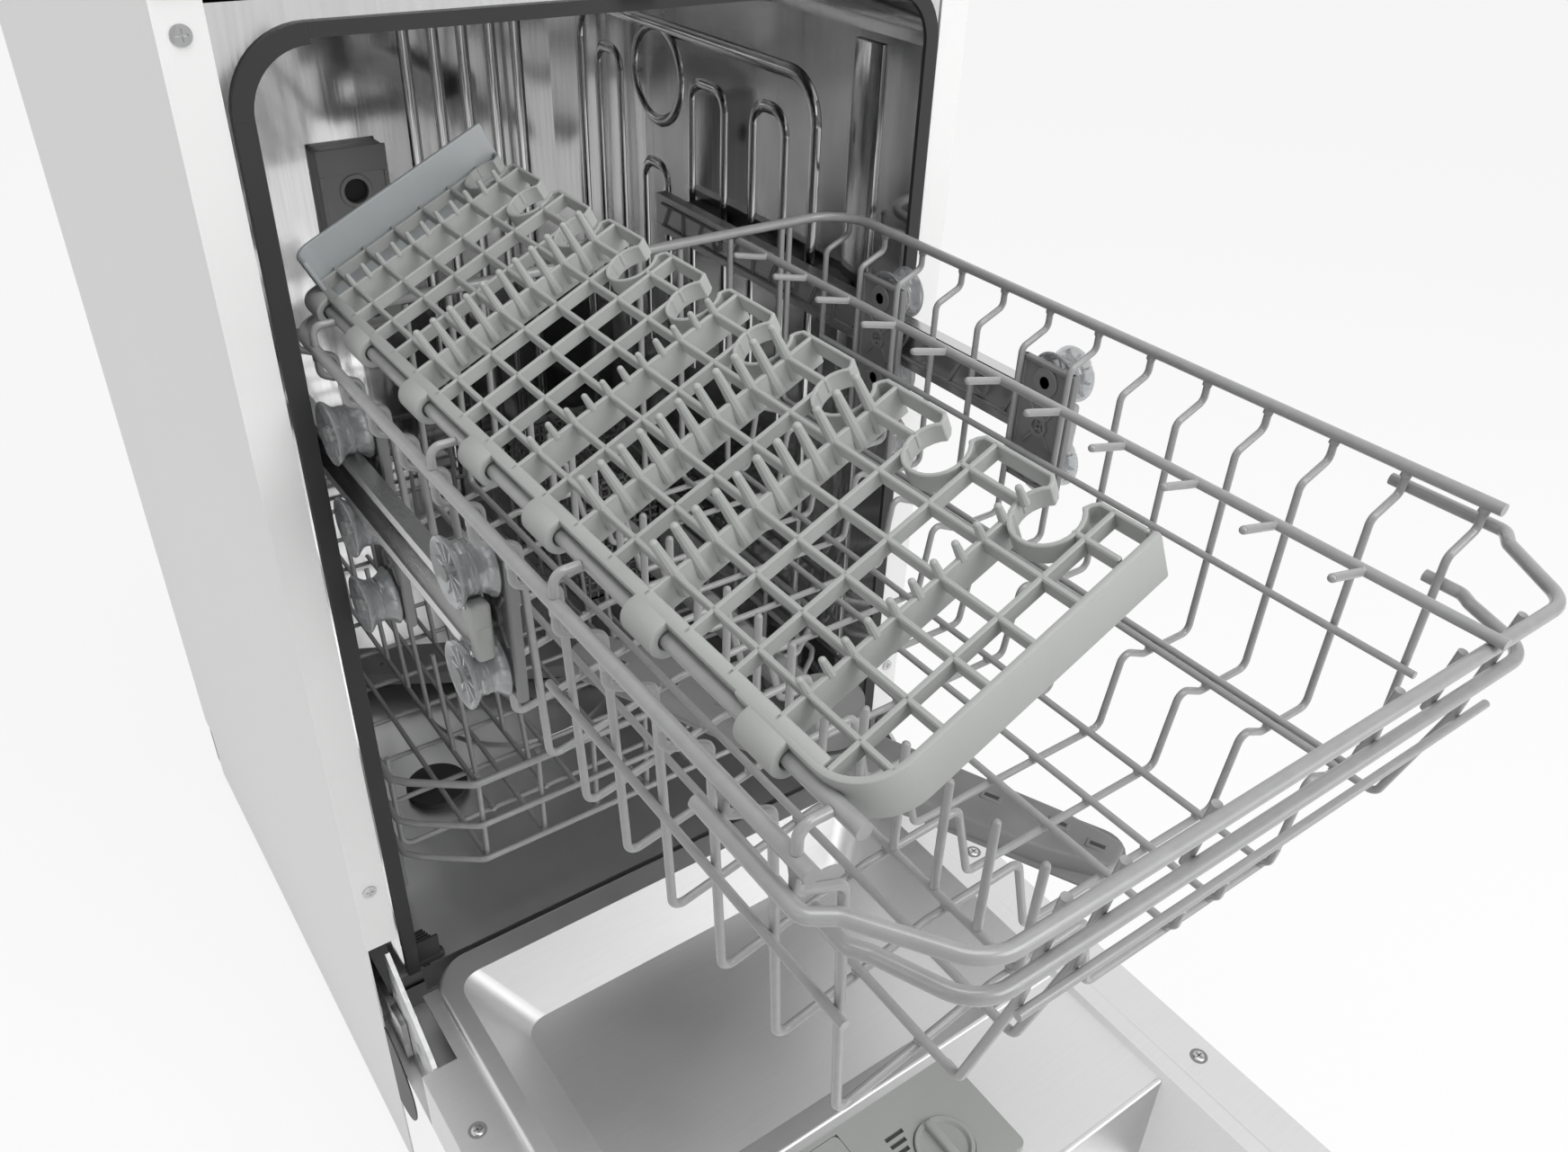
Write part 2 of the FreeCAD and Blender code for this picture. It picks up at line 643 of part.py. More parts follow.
# Wheel brackets with stub axles, and the spool wheels that run above and below the rails
axle = dim("axle_radius")
wheel_high = rail_high + dim("groove_radius") + run_gap
wheel_low = rail_low - dim("groove_radius") - run_gap
wheel_spare = wheel_low - 49
wheel_columns = {
    "front": (wire_places[6] + wire_places[7]) / 2,
    "rear": (wire_places[10] + wire_places[11]) / 2,
}
wheel_rows = {"front": {"upper": wheel_high, "lower": wheel_low},
              "rear": {"upper": wheel_high, "lower": wheel_low, "spare": wheel_spare}}
wheel_x = dim("rail_half_width")
wheel_half = dim("spool_width") / 2
plate_in = wall_x + wire + touch
plate_half = dim("wire_pitch") / 2 + wire + 1
brackets = []
spool_pairs = {}
for side_name, side in SIDES.items():
    for column, y in wheel_columns.items():
        rows = list(wheel_rows[column].values())
        plate_x = span(side, plate_in, wheel_x - wheel_half - run_gap)
        plate_block = box(plate_x, (y - plate_half, y + plate_half), (rows[-1] - 11, rows[0] + 11))
        plate = rounded(plate_block, 6, along("x"))
        shafts = []
        for z in rows:
            x_low = span(side, plate_in + 1, wheel_x + wheel_half + 2)[0]
            shafts.append(rod("x", axle, (x_low, y, z), wheel_x + wheel_half + 1 - plate_in))
        brackets.append(fuse(plate, *shafts))
        for row, z in wheel_rows[column].items():
            bore = axle + dim("pin_gap")
            groove = dim("groove_radius")
            outer = dim("spool_radius")
            half_groove = dim("rail_width") / 2 + run_gap
            spool = spun_outline(
                f"{side_name.title()}{column.title()}{row.title()}Wheel",
                [(bore, -wheel_half), (outer - 2, -wheel_half), (outer, -wheel_half + 1.5),
                 (outer, -half_groove - 1), (groove, -half_groove), (groove, half_groove),
                 (outer, half_groove + 1), (outer, wheel_half - 1.5), (outer - 2, wheel_half),
                 (bore, wheel_half)])
            spool.Placement = Placement(Vector(), TURN["x"])
            place(spool, side * wheel_x, y, z)
            spool_pairs.setdefault(f"{column}_{row}_wheels", []).append(spool)
piece("wheel_brackets", group(*brackets))
for node, wheels in spool_pairs.items():
    piece(node, group(*wheels))

# Feed pipe under the basket floor and the upper spray arm
hub_y = tub_middle - dim("basket_travel")
pipe_z = port_heights[1]
pipe_end = port_face - dim("basket_travel") - 1
pipe = rod("y", 8.5, (0, hub_y, pipe_z), pipe_end - hub_y)
collar = rod("z", 21, (0, hub_y, pipe_z - 9), 20)
spindle = rod("z", 9, (0, hub_y, pipe_z - 31), 25)
nut = rod("z", 14, (0, hub_y, pipe_z - 37), 6.4)
clip = box((-5, 5), (wire_places[-2] - 5, wire_places[-2] + 5), (pipe_z + 5, basket_low - wire - touch))
piece("feed_pipe", fuse(pipe, collar, spindle, nut, clip))


def blade_arm(reach, half_width, tip_half, thick, hub_radius, bore):
    """A flat two-bladed spray arm along Y, with a hub, nozzle holes and end slots."""
    reach, half_width, tip_half, thick = (float(v) for v in (reach, half_width, tip_half, thick))
    tip = reach - tip_half
    rim_points = [
        (Vector(half_width, 0, 0), Vector(tip_half, tip, 0)),
        (Vector(-tip_half, tip, 0), Vector(-half_width, 0, 0)),
        (Vector(-half_width, 0, 0), Vector(-tip_half, -tip, 0)),
        (Vector(tip_half, -tip, 0), Vector(half_width, 0, 0)),
    ]
    sides = [Part.LineSegment(a, b).toShape() for a, b in rim_points]
    caps = []
    for s in (1, -1):
        ends = Vector(s * tip_half, s * tip, 0), Vector(-s * tip_half, s * tip, 0)
        caps.append(Part.Arc(ends[0], Vector(0, s * reach, 0), ends[1]).toShape())
    outline = Part.Wire([sides[0], caps[0], sides[1], sides[2], caps[1], sides[3]])
    arm = Part.Face(outline).extrude(Vector(0, 0, thick))
    arm = arm.fuse(Part.makeCylinder(hub_radius, thick + 4, Vector(0, 0, -1)))
    arm = arm.cut(Part.makeCylinder(bore, thick + 20, Vector(0, 0, -10)))
    nozzles = [
        Part.makeCylinder(2, thick, Vector(s * (4 if i % 2 else -5), s * (0.3 + 0.16 * i) * reach, thick / 2))
        for s in (1, -1) for i in range(4)
    ]
    slots = [Part.makeBox(3, 9, thick, Vector(-1.5, s * (tip - 8) - 4.5, thick / 2)) for s in (1, -1)]
    return arm.cut(nozzles + slots).removeSplitter()


ARM_THICK = 13
arm_z = pipe_z - 9 - 5 - ARM_THICK - 2
upper_arm = shaped([blade_arm(dim("arm_reach"), 23, 17, ARM_THICK, 16, 9 + float(dim("pin_gap")))])
upper_arm.Placement = Placement(Vector(0, float(hub_y), float(arm_z)),
                                Rotation(Vector(0, 0, 1), float(dim("arm_angle"))))
piece("upper_spray_arm", upper_arm)

# Cup rack: a moulded grid below a flat deck, which hangs on the rack rod by clips and folds up about it
bar = float(dim("rack_bar"))
rack_width = float(dim("rack_width"))
rack_length = float(dim("rack_length"))
deck = float(dim("rack_deck"))
rack_front = float(rim_front) - 2
FIRST_CROSS, CROSS_BARS = 16.2, 18
FIRST_LONG, LONG_BARS = 16.6, 6
cross_step = (rack_length - 25.3) / (CROSS_BARS - 1)
long_step = (rack_width - 12.7) / LONG_BARS
strip_x = (2.2, 7.5)
edge_x = (rack_width - 1.8, rack_width)


def rack_block(x, y, z):
    return Part.makeBox(x[1] - x[0], y[1] - y[0], z[1] - z[0], Vector(x[0], y[0], z[0]))


rack_parts = [
    rack_block(strip_x, (0, rack_length), (deck - 5, deck)),
    rack_block(edge_x, (0, rack_length), (deck - 8.5, deck)),
    rack_block((strip_x[0], rack_width), (0, bar), (deck - 21, deck)),
    rack_block((strip_x[0], rack_width), (rack_length - bar, rack_length), (deck - 17, deck + 17)),
]
for i in range(LONG_BARS):
    x = FIRST_LONG + i * long_step
    rack_parts.append(rack_block((x - bar / 2, x + bar / 2), (0, rack_length), (deck - 6.5, deck)))
TALL_ROWS = (1, 4, 6, 8, 12, 16)
for i in range(CROSS_BARS):
    y = FIRST_CROSS + i * cross_step
    hang = 13.5 if i in TALL_ROWS else 6.5
    rack_parts.append(rack_block((strip_x[0], rack_width), (y - bar / 2, y + bar / 2), (deck - hang, deck)))

# Loops for glass stems along the outer edge, each open to the outside
LOOPS = 9
loop_x = rack_width - 15.2
loop_places = [FIRST_CROSS + 13.8 + i * 2 * cross_step for i in range(LOOPS)]
LOOP_RADIUS, LOOP_WALL, LOOP_HIGH = 11.2, 1.8, 9
loop_cuts = []
for y in loop_places:
    rack_parts.append(Part.makeCylinder(LOOP_RADIUS, LOOP_HIGH, Vector(loop_x, y, deck - LOOP_HIGH)))
    for neck in (-8.3, 6.5):
        neck_y = (y + neck, y + neck + 1.8)
        rack_parts.append(rack_block((loop_x + 6, rack_width), neck_y, (deck - 8.5, deck)))
    loop_cuts.append(Part.makeCylinder(LOOP_RADIUS - LOOP_WALL, 40, Vector(loop_x, y, deck - 20)))
    loop_cuts.append(rack_block((loop_x + 4, rack_width + 5), (y - 6.5, y + 6.5), (deck - 20, deck + 5)))

# Rows of leaning spikes that hold cups apart, and the clips on the rod
SPIKE_ROWS = (4, 6, 12)
SPIKE_LEAN = Vector(0, 2.5, 20)
SPIKE_FOOT = deck - 8
for row in SPIKE_ROWS:
    y = FIRST_CROSS + row * cross_step
    for i in range(2 * LONG_BARS - 1):
        x = FIRST_LONG + i * long_step / 2
        foot = Vector(x, y, SPIKE_FOOT)
        rack_parts.append(Part.makeCone(2.6, 1.5, float(dim("spike_length")), foot, SPIKE_LEAN))
clip_bore = float(rim + dim("run_gap"))
CLIP_RADIUS, CLIP_LONG = 7.4, 20
CLIP_SHARES = (0.094, 0.244, 0.409, 0.538, 0.679, 0.83, 0.958)
for share in CLIP_SHARES:
    y = share * rack_length - CLIP_LONG / 2
    ring = Part.makeCylinder(CLIP_RADIUS, CLIP_LONG, Vector(0, y, 0), Vector(0, 1, 0))
    mouth = rack_block((-2.2, 14), (y - 1, y + CLIP_LONG + 1), (-12, -2.2))
    rack_parts.append(ring.cut(mouth))
rack_solid = rack_parts[0].multiFuse(rack_parts[1:])
rod_room = Part.makeCylinder(clip_bore, rack_length + 40, Vector(0, -20, 0), Vector(0, 1, 0))
rack_solid = rack_solid.cut([rod_room] + loop_cuts).removeSplitter()
rack = shaped([rack_solid])
rack.Placement = Placement(Vector(float(rack_x), rack_front, float(rack_z)),
                           Rotation(Vector(0, 1, 0), -float(dim("rack_tilt"))))
piece("cup_rack", rack)

# Lower basket: three belts of wire with drawn-in front corners, cross and long wires, tines
low_x = dim("low_half_width")
low_z = tub_floor + dim("low_rim_rise")
low_floor = tub_floor + dim("low_floor_rise")
low_front = front + 14
low_back = low_front + dim("low_length")
low_belts = (low_z, low_z - 38, low_z - 70)


def belt(z, radius):
    """One closed belt as two halves, so that each is an open wire."""
    half = [(0, low_back, z), (low_x, low_back, z), (low_x, low_front + 36, z),
            (low_x - 9, low_front + 26, z), (low_x - 44, low_front, z), (0.1, low_front, z)]
    return [bent_wire([(s * float(x), y, c) for x, y, c in half], 8, radius) for s in (-1, 1)]


low_basket = []
for z, radius in zip(low_belts, (2.6, 2.2, 2.2)):
    low_basket += belt(z, radius)
low_wall = low_x - 2.6 - wire - touch
LOW_CROSS = 9
low_step = (float(dim("low_length")) - 90) / (LOW_CROSS - 1)
low_places = [float(low_front) + 52 + i * low_step for i in range(LOW_CROSS)]
for y in low_places:
    low_basket.append(bent_wire([(-low_wall, y, low_z + 4), (-low_wall, y, low_floor),
                                 (low_wall, y, low_floor), (low_wall, y, low_z + 4)], 9, wire))
low_long = [-128, -84, -42, 0, 42, 84, 128]
long_front = low_front + 2.6 + wire + touch
long_back = low_back - 2.6 - wire - touch
long_z = low_floor + pair
for x in low_long:
    low_basket.append(bent_wire([(x, long_front, low_z + 4), (x, long_front, long_z), (x, long_back, long_z),
                                 (x, long_back, low_z + 4)], 9, wire))
for x in (-104, -62, 62):
    low_basket.append(bent_wire([(x, low_places[0] - 6, long_z), (x, low_places[-1] + 6, long_z)], 5, wire))
    for i in range(LOW_CROSS - 1):
        y = low_places[i] + low_step / 2
        z_low = long_z + wire + touch
        low_basket.append(bent_wire([(x, y, z_low), (x, y + 16, z_low + 82)], 5, wire))
piece("lower_basket", shaped(low_basket))

# Lower basket wheels on clip axles at the sides
low_wheel = dim("low_wheel")
low_wheel_z = tub_floor + low_wheel + run_gap
low_wheel_places = {"front": low_places[0] - 1 + low_step / 2, "rear": low_places[-1] - low_step / 2}
holder_x = low_wall + wire + touch
holders = []
low_pairs = {}
for side_name, side in SIDES.items():
    for column, y in low_wheel_places.items():
        holder_z = (low_wheel_z - 6, low_belts[2] - 3)
        holder = rounded(box(span(side, holder_x, holder_x + 4), (y - 24, y + 24), holder_z), 4, along("x"))
        x_low = span(side, holder_x + 1, holder_x + 15)[0]
        holders.append(fuse(holder, rod("x", axle, (x_low, y, low_wheel_z), 14)))
        wheel_in = holder_x + 4 + run_gap
        bore = axle + dim("pin_gap")
        wheel = spun_outline(
            f"Lower{side_name.title()}{column.title()}Wheel",
            [(bore, 0), (low_wheel - 3, 0), (low_wheel, 2), (low_wheel, 7), (low_wheel - 3, 9), (bore, 9)])
        wheel.Placement = Placement(Vector(), TURN["x"])
        place(wheel, span(side, wheel_in, wheel_in + 9)[0], y, low_wheel_z)
        low_pairs.setdefault(f"lower_{column}_wheels", []).append(wheel)
piece("lower_wheel_holders", group(*holders))
for node, wheels in low_pairs.items():
    piece(node, group(*wheels))

# Cutlery basket of fine moulded grid, standing on the long wires
cutlery_x = (70, 152)
cutlery_y = (low_places[4] + 6, low_places[7] + 6)
cutlery_z = long_z + wire + touch
tall = dim("cutlery_height")
walls = cut(box(cutlery_x, cutlery_y, (cutlery_z, cutlery_z + tall)),
            box((cutlery_x[0] + 2, cutlery_x[1] - 2), (cutlery_y[0] + 2, cutlery_y[1] - 2),
                (cutlery_z + 2, cutlery_z + tall + 5)))
dividers = [box((cutlery_x[0] + 1, cutlery_x[1] - 1), (y, y + 1.6), (cutlery_z + 1, cutlery_z + tall - 6))
            for y in (cutlery_y[0] + (cutlery_y[1] - cutlery_y[0]) * k / 3 for k in (1, 2))]
piece("cutlery_basket", fuse(walls, *dividers))

# Sump with filters and lower spray arm at the tub floor
sump_low = 128
sump_cup = cut(rod("z", sump_radius - 0.1, (0, tub_middle, sump_low), tub_floor - sump_low - 2),
               rod("z", sump_radius - 3, (0, tub_middle, sump_low + 4), tub_floor))
sump_brim = cut(rod("z", sump_radius + 8, (0, tub_middle, tub_floor - 6), 6 - tub_sheet - touch),
                rod("z", sump_radius - 3, (0, tub_middle, tub_floor - 10), 20))
piece("sump", fuse(sump_cup, sump_brim))
filter_radius = 26
filter_place = (24, tub_middle - 24)
arm_place = (0, tub_middle + 14)
grate = rod("z", 84, (0, tub_middle, tub_floor + touch), 2.4)
filter_seat = rod("z", filter_radius + 0.4, (*filter_place, tub_floor - 5), 20)
arm_post = rod("z", 9, (*arm_place, tub_floor + 1), 26)
arm_foot = rod("z", 15, (*arm_place, tub_floor + 1), 8)
piece("filter_plate", fuse(cut(grate, filter_seat), arm_foot, arm_post))
cup = rod("z", filter_radius, (*filter_place, 150), tub_floor - 150 + 4)
cup_room = rod("z", filter_radius - 2.5, (*filter_place, 153), tub_floor - 150 - 4)
grip = box((filter_place[0] - 16, filter_place[0] + 16), (filter_place[1] - 2, filter_place[1] + 2),
           (tub_floor + 3, tub_floor + 9))
piece("filter_cylinder", fuse(cut(cup, cup_room), grip))
lower_arm = shaped([blade_arm(dim("low_arm_reach"), 24, 18, 12, 17, 9 + float(dim("pin_gap")))])
lower_arm.Placement = Placement(Vector(0, float(arm_place[1]), float(tub_floor) + 11),
                                Rotation(Vector(0, 0, 1), 62))
piece("lower_spray_arm", lower_arm)
salt_neck = (-112, tub_middle - 90)
salt_lid = rod("z", 24, (*salt_neck, tub_floor + touch), 5.5)
salt_grip = box((salt_neck[0] - 20, salt_neck[0] + 20), (salt_neck[1] - 3, salt_neck[1] + 3),
                (tub_floor + 5, tub_floor + 9.5))
piece("salt_cap", fuse(salt_lid, salt_grip))

# Works in the base, standing on the pan
pump_z = base_floor + 55
pump = fuse(rod("y", 44, (0, tub_middle + 70, pump_z), 92), rod("y", 52, (0, tub_middle + 160, pump_z), 26),
            box((-30, 30), (tub_middle + 80, tub_middle + 150), (base_floor + touch, pump_z - 10)))
riser = rod("z", 12, (0, tub_middle + 44, pump_z + 20), sump_low - pump_z - 20 - touch)
elbow = rod("y", 16, (0, tub_middle + 24, pump_z + 18), 52)
piece("circulation_pump", fuse(pump, elbow, riser))
drain_z = base_floor + 34
drain = fuse(rod("x", 30, (66, tub_middle - 60, drain_z), 60),
             rod("x", 18, (125, tub_middle - 60, drain_z), 40),
             box((80, 120), (tub_middle - 80, tub_middle - 40), (base_floor + touch, drain_z - 5)))
piece("drain_pump", drain)
softener_block = box((-190, -75), (tub_middle - 130, tub_middle + 40), (base_floor + touch, 168))
softener = rounded(softener_block, 14, along("z"))
salt_tube = rod("z", 22, (*salt_neck, 160), tub_floor - tub_sheet - 160 - touch)
piece("softener", fuse(softener, salt_tube))
heater = cut(rod("z", 52, (0, tub_middle, sump_low + 8), 8), rod("z", 44, (0, tub_middle, sump_low + 2), 20))
heater_legs = [rod("z", 4, (x, tub_middle, sump_low + 4 + touch), 6) for x in (-48, 48)]
piece("heater_ring", fuse(heater, *heater_legs))
valve_x = -100
valve = fuse(box((valve_x - 24, valve_x + 24), (rear - 66, rear - 8), (70, 118)),
             box((valve_x - 30, valve_x + 30), (rear - 52, rear - 8), (base_floor + touch, 72)),
             rod("y", 13.2, (valve_x, rear - 10, 94), 26))
piece("inlet_valve", valve)
outlet_x = 100
outlet = fuse(box((outlet_x - 22, outlet_x + 22), (rear - 40, rear - 8), (base_floor + touch, 110)),
              rod("y", 10, (outlet_x, rear - 10, 90), 34))
piece("drain_outlet", cut(outlet, rod("y", 7.5, (outlet_x, rear - 30, 90), 60)))

# Door springs at both sides of the base, hooked to the pan posts
springs = []
for side in SIDES.values():
    x = side * (half_width - 22)
    springs.append(rod("y", 8, (x, base_front + 30 + touch, 96), rear_post - base_front - 30 - touch * 2))
piece("door_springs", group(*springs))

# Hinge brackets on the pan posts, with the hinge pins
bracket_in = half_width - 9.6
bracket_out = half_width - 5.6
hinge_brackets = []
for side in SIDES.values():
    plate_x = span(side, bracket_in, bracket_out)
    plate = box(plate_x, (hinge_y - 9, base_front - touch), (hinge_z - 24, hinge_z + 10))
    tail = box(plate_x, (base_front - 30, base_front - touch), (hinge_z - 60, hinge_z + 10))
    pin = rod("x", dim("hinge_pin"), (span(side, bracket_in - 9, bracket_in + 1)[0], hinge_y, hinge_z), 10)
    hinge_brackets.append(fuse(plate, tail, pin))
piece("hinge_brackets", group(*hinge_brackets))

# Door, lying open. Its band is the sealing face and its outer skin faces the ground
door_half = half_width - dim("door_inset")
band_z = hinge_z + dim("hinge_ahead") - dim("door_gap")
face_z = band_z - dim("door_body")
door_length = tub_top - hinge_z + dim("door_over")
far = hinge_y - door_length
door_sheet = dim("door_sheet")
ARM_NOTCH = (24, 56)
notch_y = hinge_y - ARM_NOTCH[1]
notch_x = door_half - ARM_NOTCH[0]
console_length = 96
console_y = far + console_length
outer_skin = box((-door_half, door_half), (console_y + 1, hinge_y + dim("door_tail")),
                 (face_z, face_z + door_sheet))
skin_sides = [
    box(span(side, door_half - door_sheet, door_half), (console_y + 1, notch_y), (face_z, band_z - 3))
    for side in SIDES.values()
]
piece("outer_door_panel", fuse(outer_skin, *skin_sides))

# Inner door: sealing band with a raised tray, its recess and the dispenser ledge
plateau_half = dim("plateau_width") / 2
plateau_z = band_z + dim("plateau_rise")
plateau_near = hinge_y + 17.5
plateau_far = far + dim("plateau_margin")
tray_z = plateau_z - dim("recess_depth")
band = box((-door_half, door_half), (far, hinge_y + 2), (band_z - 2.5, band_z))
band_notches = [box(span(side, notch_x, door_half + 1), (notch_y, hinge_y + 10), (band_z - 10, band_z + 5))
                for side in SIDES.values()]
raised = rounded(box((-plateau_half, plateau_half), (plateau_far, plateau_near), (tray_z - 2.5, plateau_z)),
                 28, along("z"))
raised = rounded(raised, 3, lambda edge: edge.CenterOfMass.z > float(plateau_z) - 0.01)
console_clear = box((-door_half, door_half), (far - 5, console_y + 2), (tray_z - 10, band_z - 2.5))
raised = cut(raised, console_clear)
ledge_y = (hinge_y - 328.5, hinge_y - 225.5)
ledge_z = plateau_z - 4
recess_half = dim("recess_width") / 2
recess_foot = recess_half - 33
dish_near = hinge_y - 2.5
dish_far = console_y + 10
dish_top = plateau_z + 5
dish_side = [
    (dish_near + 3, dish_top), (dish_near - 28, tray_z), (ledge_y[1] + 32, tray_z), (ledge_y[1], ledge_z),
    (ledge_y[0], ledge_z), (ledge_y[0] - 15, tray_z), (dish_far + 14, tray_z), (dish_far, dish_top),
]
dish_body = padded_outline("DoorRecess", "YZ_Plane", dish_side, recess_half * 2 + 20)
bind(dish_body, Placement__Base__x=-recess_half - 10)
flare = 33 * 5 / 44
dish_end = [
    (-recess_foot, tray_z), (recess_foot, tray_z),
    (recess_half + flare, dish_top), (-recess_half - flare, dish_top),
]
dish_cross = padded_outline("DoorRecessSides", "XZ_Plane", dish_end, dish_near - dish_far + 40)
bind(dish_cross, Placement__Base__y=dish_near + 20)
dish_raw = common(dish_body, dish_cross)


def dish_corner(edge):
    """The four leaning corner edges at the recess's ends."""
    middle = edge.CenterOfMass
    ends = middle.y > float(dish_near) - 30 or middle.y < float(dish_far) + 15
    return ends and not along("x")(edge) and not along("y")(edge)


dishes = rounded(dish_raw, 20, dish_corner)
dispenser_x = (-84, 66)
dispenser_y = (hinge_y - 310.5, hinge_y - 235.5)
dispenser_hole = box((dispenser_x[0] + 4, dispenser_x[1] - 4), (dispenser_y[0] + 4, dispenser_y[1] - 4),
                     (tray_z - 30, ledge_z + 30))
latch_reach = hinge_y - (tub_top + 5.3 - hinge_z)
latch_window = box((-14, 14), (latch_reach - 4, latch_reach + 4), (band_z - 10, band_z + 5))
piece("inner_door_panel", cut(fuse(cut(band, *band_notches), raised), dishes, dispenser_hole, latch_window))

# Dispenser let into the ledge: body, sliding lid and rinse-aid dial
plate = rounded(box(dispenser_x, dispenser_y, (ledge_z + touch, ledge_z + 3)), 5, along("z"))
tank = box((dispenser_x[0] + 5, dispenser_x[1] - 5), (dispenser_y[0] + 5, dispenser_y[1] - 5),
           (face_z + 8, ledge_z + 1))
lid_x = (dispenser_x[0] + 4, dispenser_x[0] + 55.5)
lid_y = (dispenser_y[0] + 4, dispenser_y[1] - 4)
lid_room = box((lid_x[0] - 0.5, lid_x[1] + 0.5), (lid_y[0] - 0.5, lid_y[1] + 0.5), (ledge_z, ledge_z + 20))
cup_space = box((lid_x[0] + 5, lid_x[1] - 5), (lid_y[0] + 5, lid_y[1] - 5), (face_z + 14, ledge_z + 20))
dial_x = dispenser_x[1] - 43
dial_y = dispenser_y[1] - 47
dial_radius = 19
dial_seat = rod("z", dial_radius + 0.5, (dial_x, dial_y, ledge_z - 4), 20)
slots = []
for i in range(3):
    slot_y = dial_y + 21 - 5.5 * i
    slots.append(box((dial_x - 29, dial_x - 15 - 2 * i), (slot_y, slot_y + 3), (ledge_z + 1, ledge_z + 9)))
piece("dispenser_body", cut(fuse(plate, tank), lid_room, cup_space, dial_seat, *slots))
lid_z = ledge_z + run_gap / 2
barrel = 1.5
lid_plate = rounded(box((lid_x[0] + barrel, lid_x[1]), lid_y, (lid_z, lid_z + 3)), 4,
                    lambda edge: along("z")(edge) and edge.CenterOfMass.x > lid_x[0] + 10)
knuckle = rod("y", barrel, (lid_x[0] + barrel, lid_y[0], lid_z + barrel), lid_y[1] - lid_y[0])
thumb = box((lid_x[1] - 9, lid_x[1] - 6), (lid_y[0] + 20, lid_y[1] - 20), (lid_z + 2, lid_z + 5))
piece("dispenser_lid", fuse(lid_plate, knuckle, thumb))
dial = rod("z", dial_radius, (dial_x, dial_y, ledge_z - 4 + touch), 7)
pointer = box((dial_x - 3, dial_x + 3), (dial_y - dial_radius + 2, dial_y + dial_radius - 2),
              (ledge_z + 2, ledge_z + 8))
piece("rinse_dial", fuse(dial, pointer))

# Hinge arms: steel plates on the door that turn on the hinge pins
arm_out = bracket_in - run_gap
arm_in = arm_out - 3
arm_low = face_z + door_sheet + 3
arm_under = band_z - 2.5 - touch
arm_back = notch_y - 90
arm_side = [
    (arm_back, arm_low), (hinge_y + 10, arm_low), (hinge_y + 15, hinge_z),
    (hinge_y + 15.5, dim("flange_foot") - 6), (hinge_y + 12, dim("flange_foot") - 4),
    (notch_y + 6, band_z + 3), (notch_y + 1, arm_under), (arm_back, arm_under),
]
hinge_arms = []
for side_name, side in SIDES.items():
    arm_plate = padded_outline(f"{side_name.title()}HingeArm", "YZ_Plane", arm_side, 3)
    bind(arm_plate, Placement__Base__x=span(side, arm_in, arm_out)[0])
    eye_start = (span(side, arm_in, arm_out)[0] - 5, hinge_y, hinge_z)
    eye = rod("x", dim("hinge_pin") + dim("pin_gap"), eye_start, 20)
    hinge_arms.append(cut(arm_plate, eye))
piece("hinge_arms", group(*hinge_arms))

# Control panel at the door's top edge, with grip recess, buttons and board
console_block = box((-door_half, door_half), (far, console_y), (face_z, band_z - 2.5 - touch))
console = rounded(console_block, 3, along("x"))
console_room = box((-door_half + 2.5, door_half - 2.5), (far + 2.5, console_y + 1), (face_z + 2.5, band_z))
grip_room = box((-70, 70), (console_y - 30, console_y - 6), (face_z - 1, face_z + 20))
grip_wall = box((-72.5, 72.5), (console_y - 32.5, console_y - 3.5), (face_z + 1, face_z + 22.5))
button_x = {"power": -170, "start": 170, "program": 130}
button_y = far + 40
button_radius = {"power": 9, "start": 9, "program": 6}
button_holes = [rod("z", button_radius[name] + 0.3, (x, button_y, face_z - 5), 15)
                for name, x in button_x.items()]
display = box((-20, 60), (button_y - 9, button_y + 9), (face_z - 1, face_z + 0.8))
console_shell = cut(fuse(cut(console, console_room), grip_wall), grip_room, display, *button_holes)
piece("control_panel", console_shell)
for name, x in button_x.items():
    cap = rod("z", button_radius[name], (x, button_y, face_z - 2.6), 9)
    collar = rod("z", button_radius[name] + 1.4, (x, button_y, face_z + 2.5 + run_gap), 1.8)
    piece(f"{name}_button", fuse(cap, collar))
board = box((-186, 186), (button_y - 24, button_y + 22), (face_z + 14, face_z + 15.6))
board_posts = [rod("z", 3, (x, button_y + 20, face_z + 2.5 + touch), 12) for x in (-180, -60, 60, 180)]
piece("control_board", fuse(board, *board_posts))

latch = box((-26, 26), (far + 2.5 + touch, far + 22), (band_z - 30, band_z - 2.5 - touch))
latch_slot = box((-14, 14), (latch_reach - 3.2, latch_reach + 6), (band_z - 24, band_z + 5))
piece("door_latch", cut(latch, latch_slot))

door_screw_rows = (hinge_y - 110, hinge_y - 330, far + 60)
door_screw_places = [(side * (door_half - 14), y) for side in SIDES.values() for y in door_screw_rows]
door_screws = []
for x, y in door_screw_places:
    head = rod("z", 4.2, (x, y, band_z + touch), 0.75)
    door_screws.append(cut(head, box((x - 2.5, x + 2.5), (y - 0.5, y + 0.5), (band_z + 0.3, band_z + 3)),
                           box((x - 0.5, x + 0.5), (y - 2.5, y + 2.5), (band_z + 0.3, band_z + 3))))
piece("door_screws", group(*door_screws))

# Striker loop at the tub's top edge for the latch
striker_z = tub_top + 5.3
striker_foot = box((-16, 16), (tub_front - 1.2, tub_front - touch), (striker_z - 1.6, striker_z + 5))
striker_tongue = box((-10, 10), (front - 12, tub_front - 1), (striker_z - 1.3, striker_z + 1.3))
piece("latch_striker", fuse(striker_foot, striker_tongue))

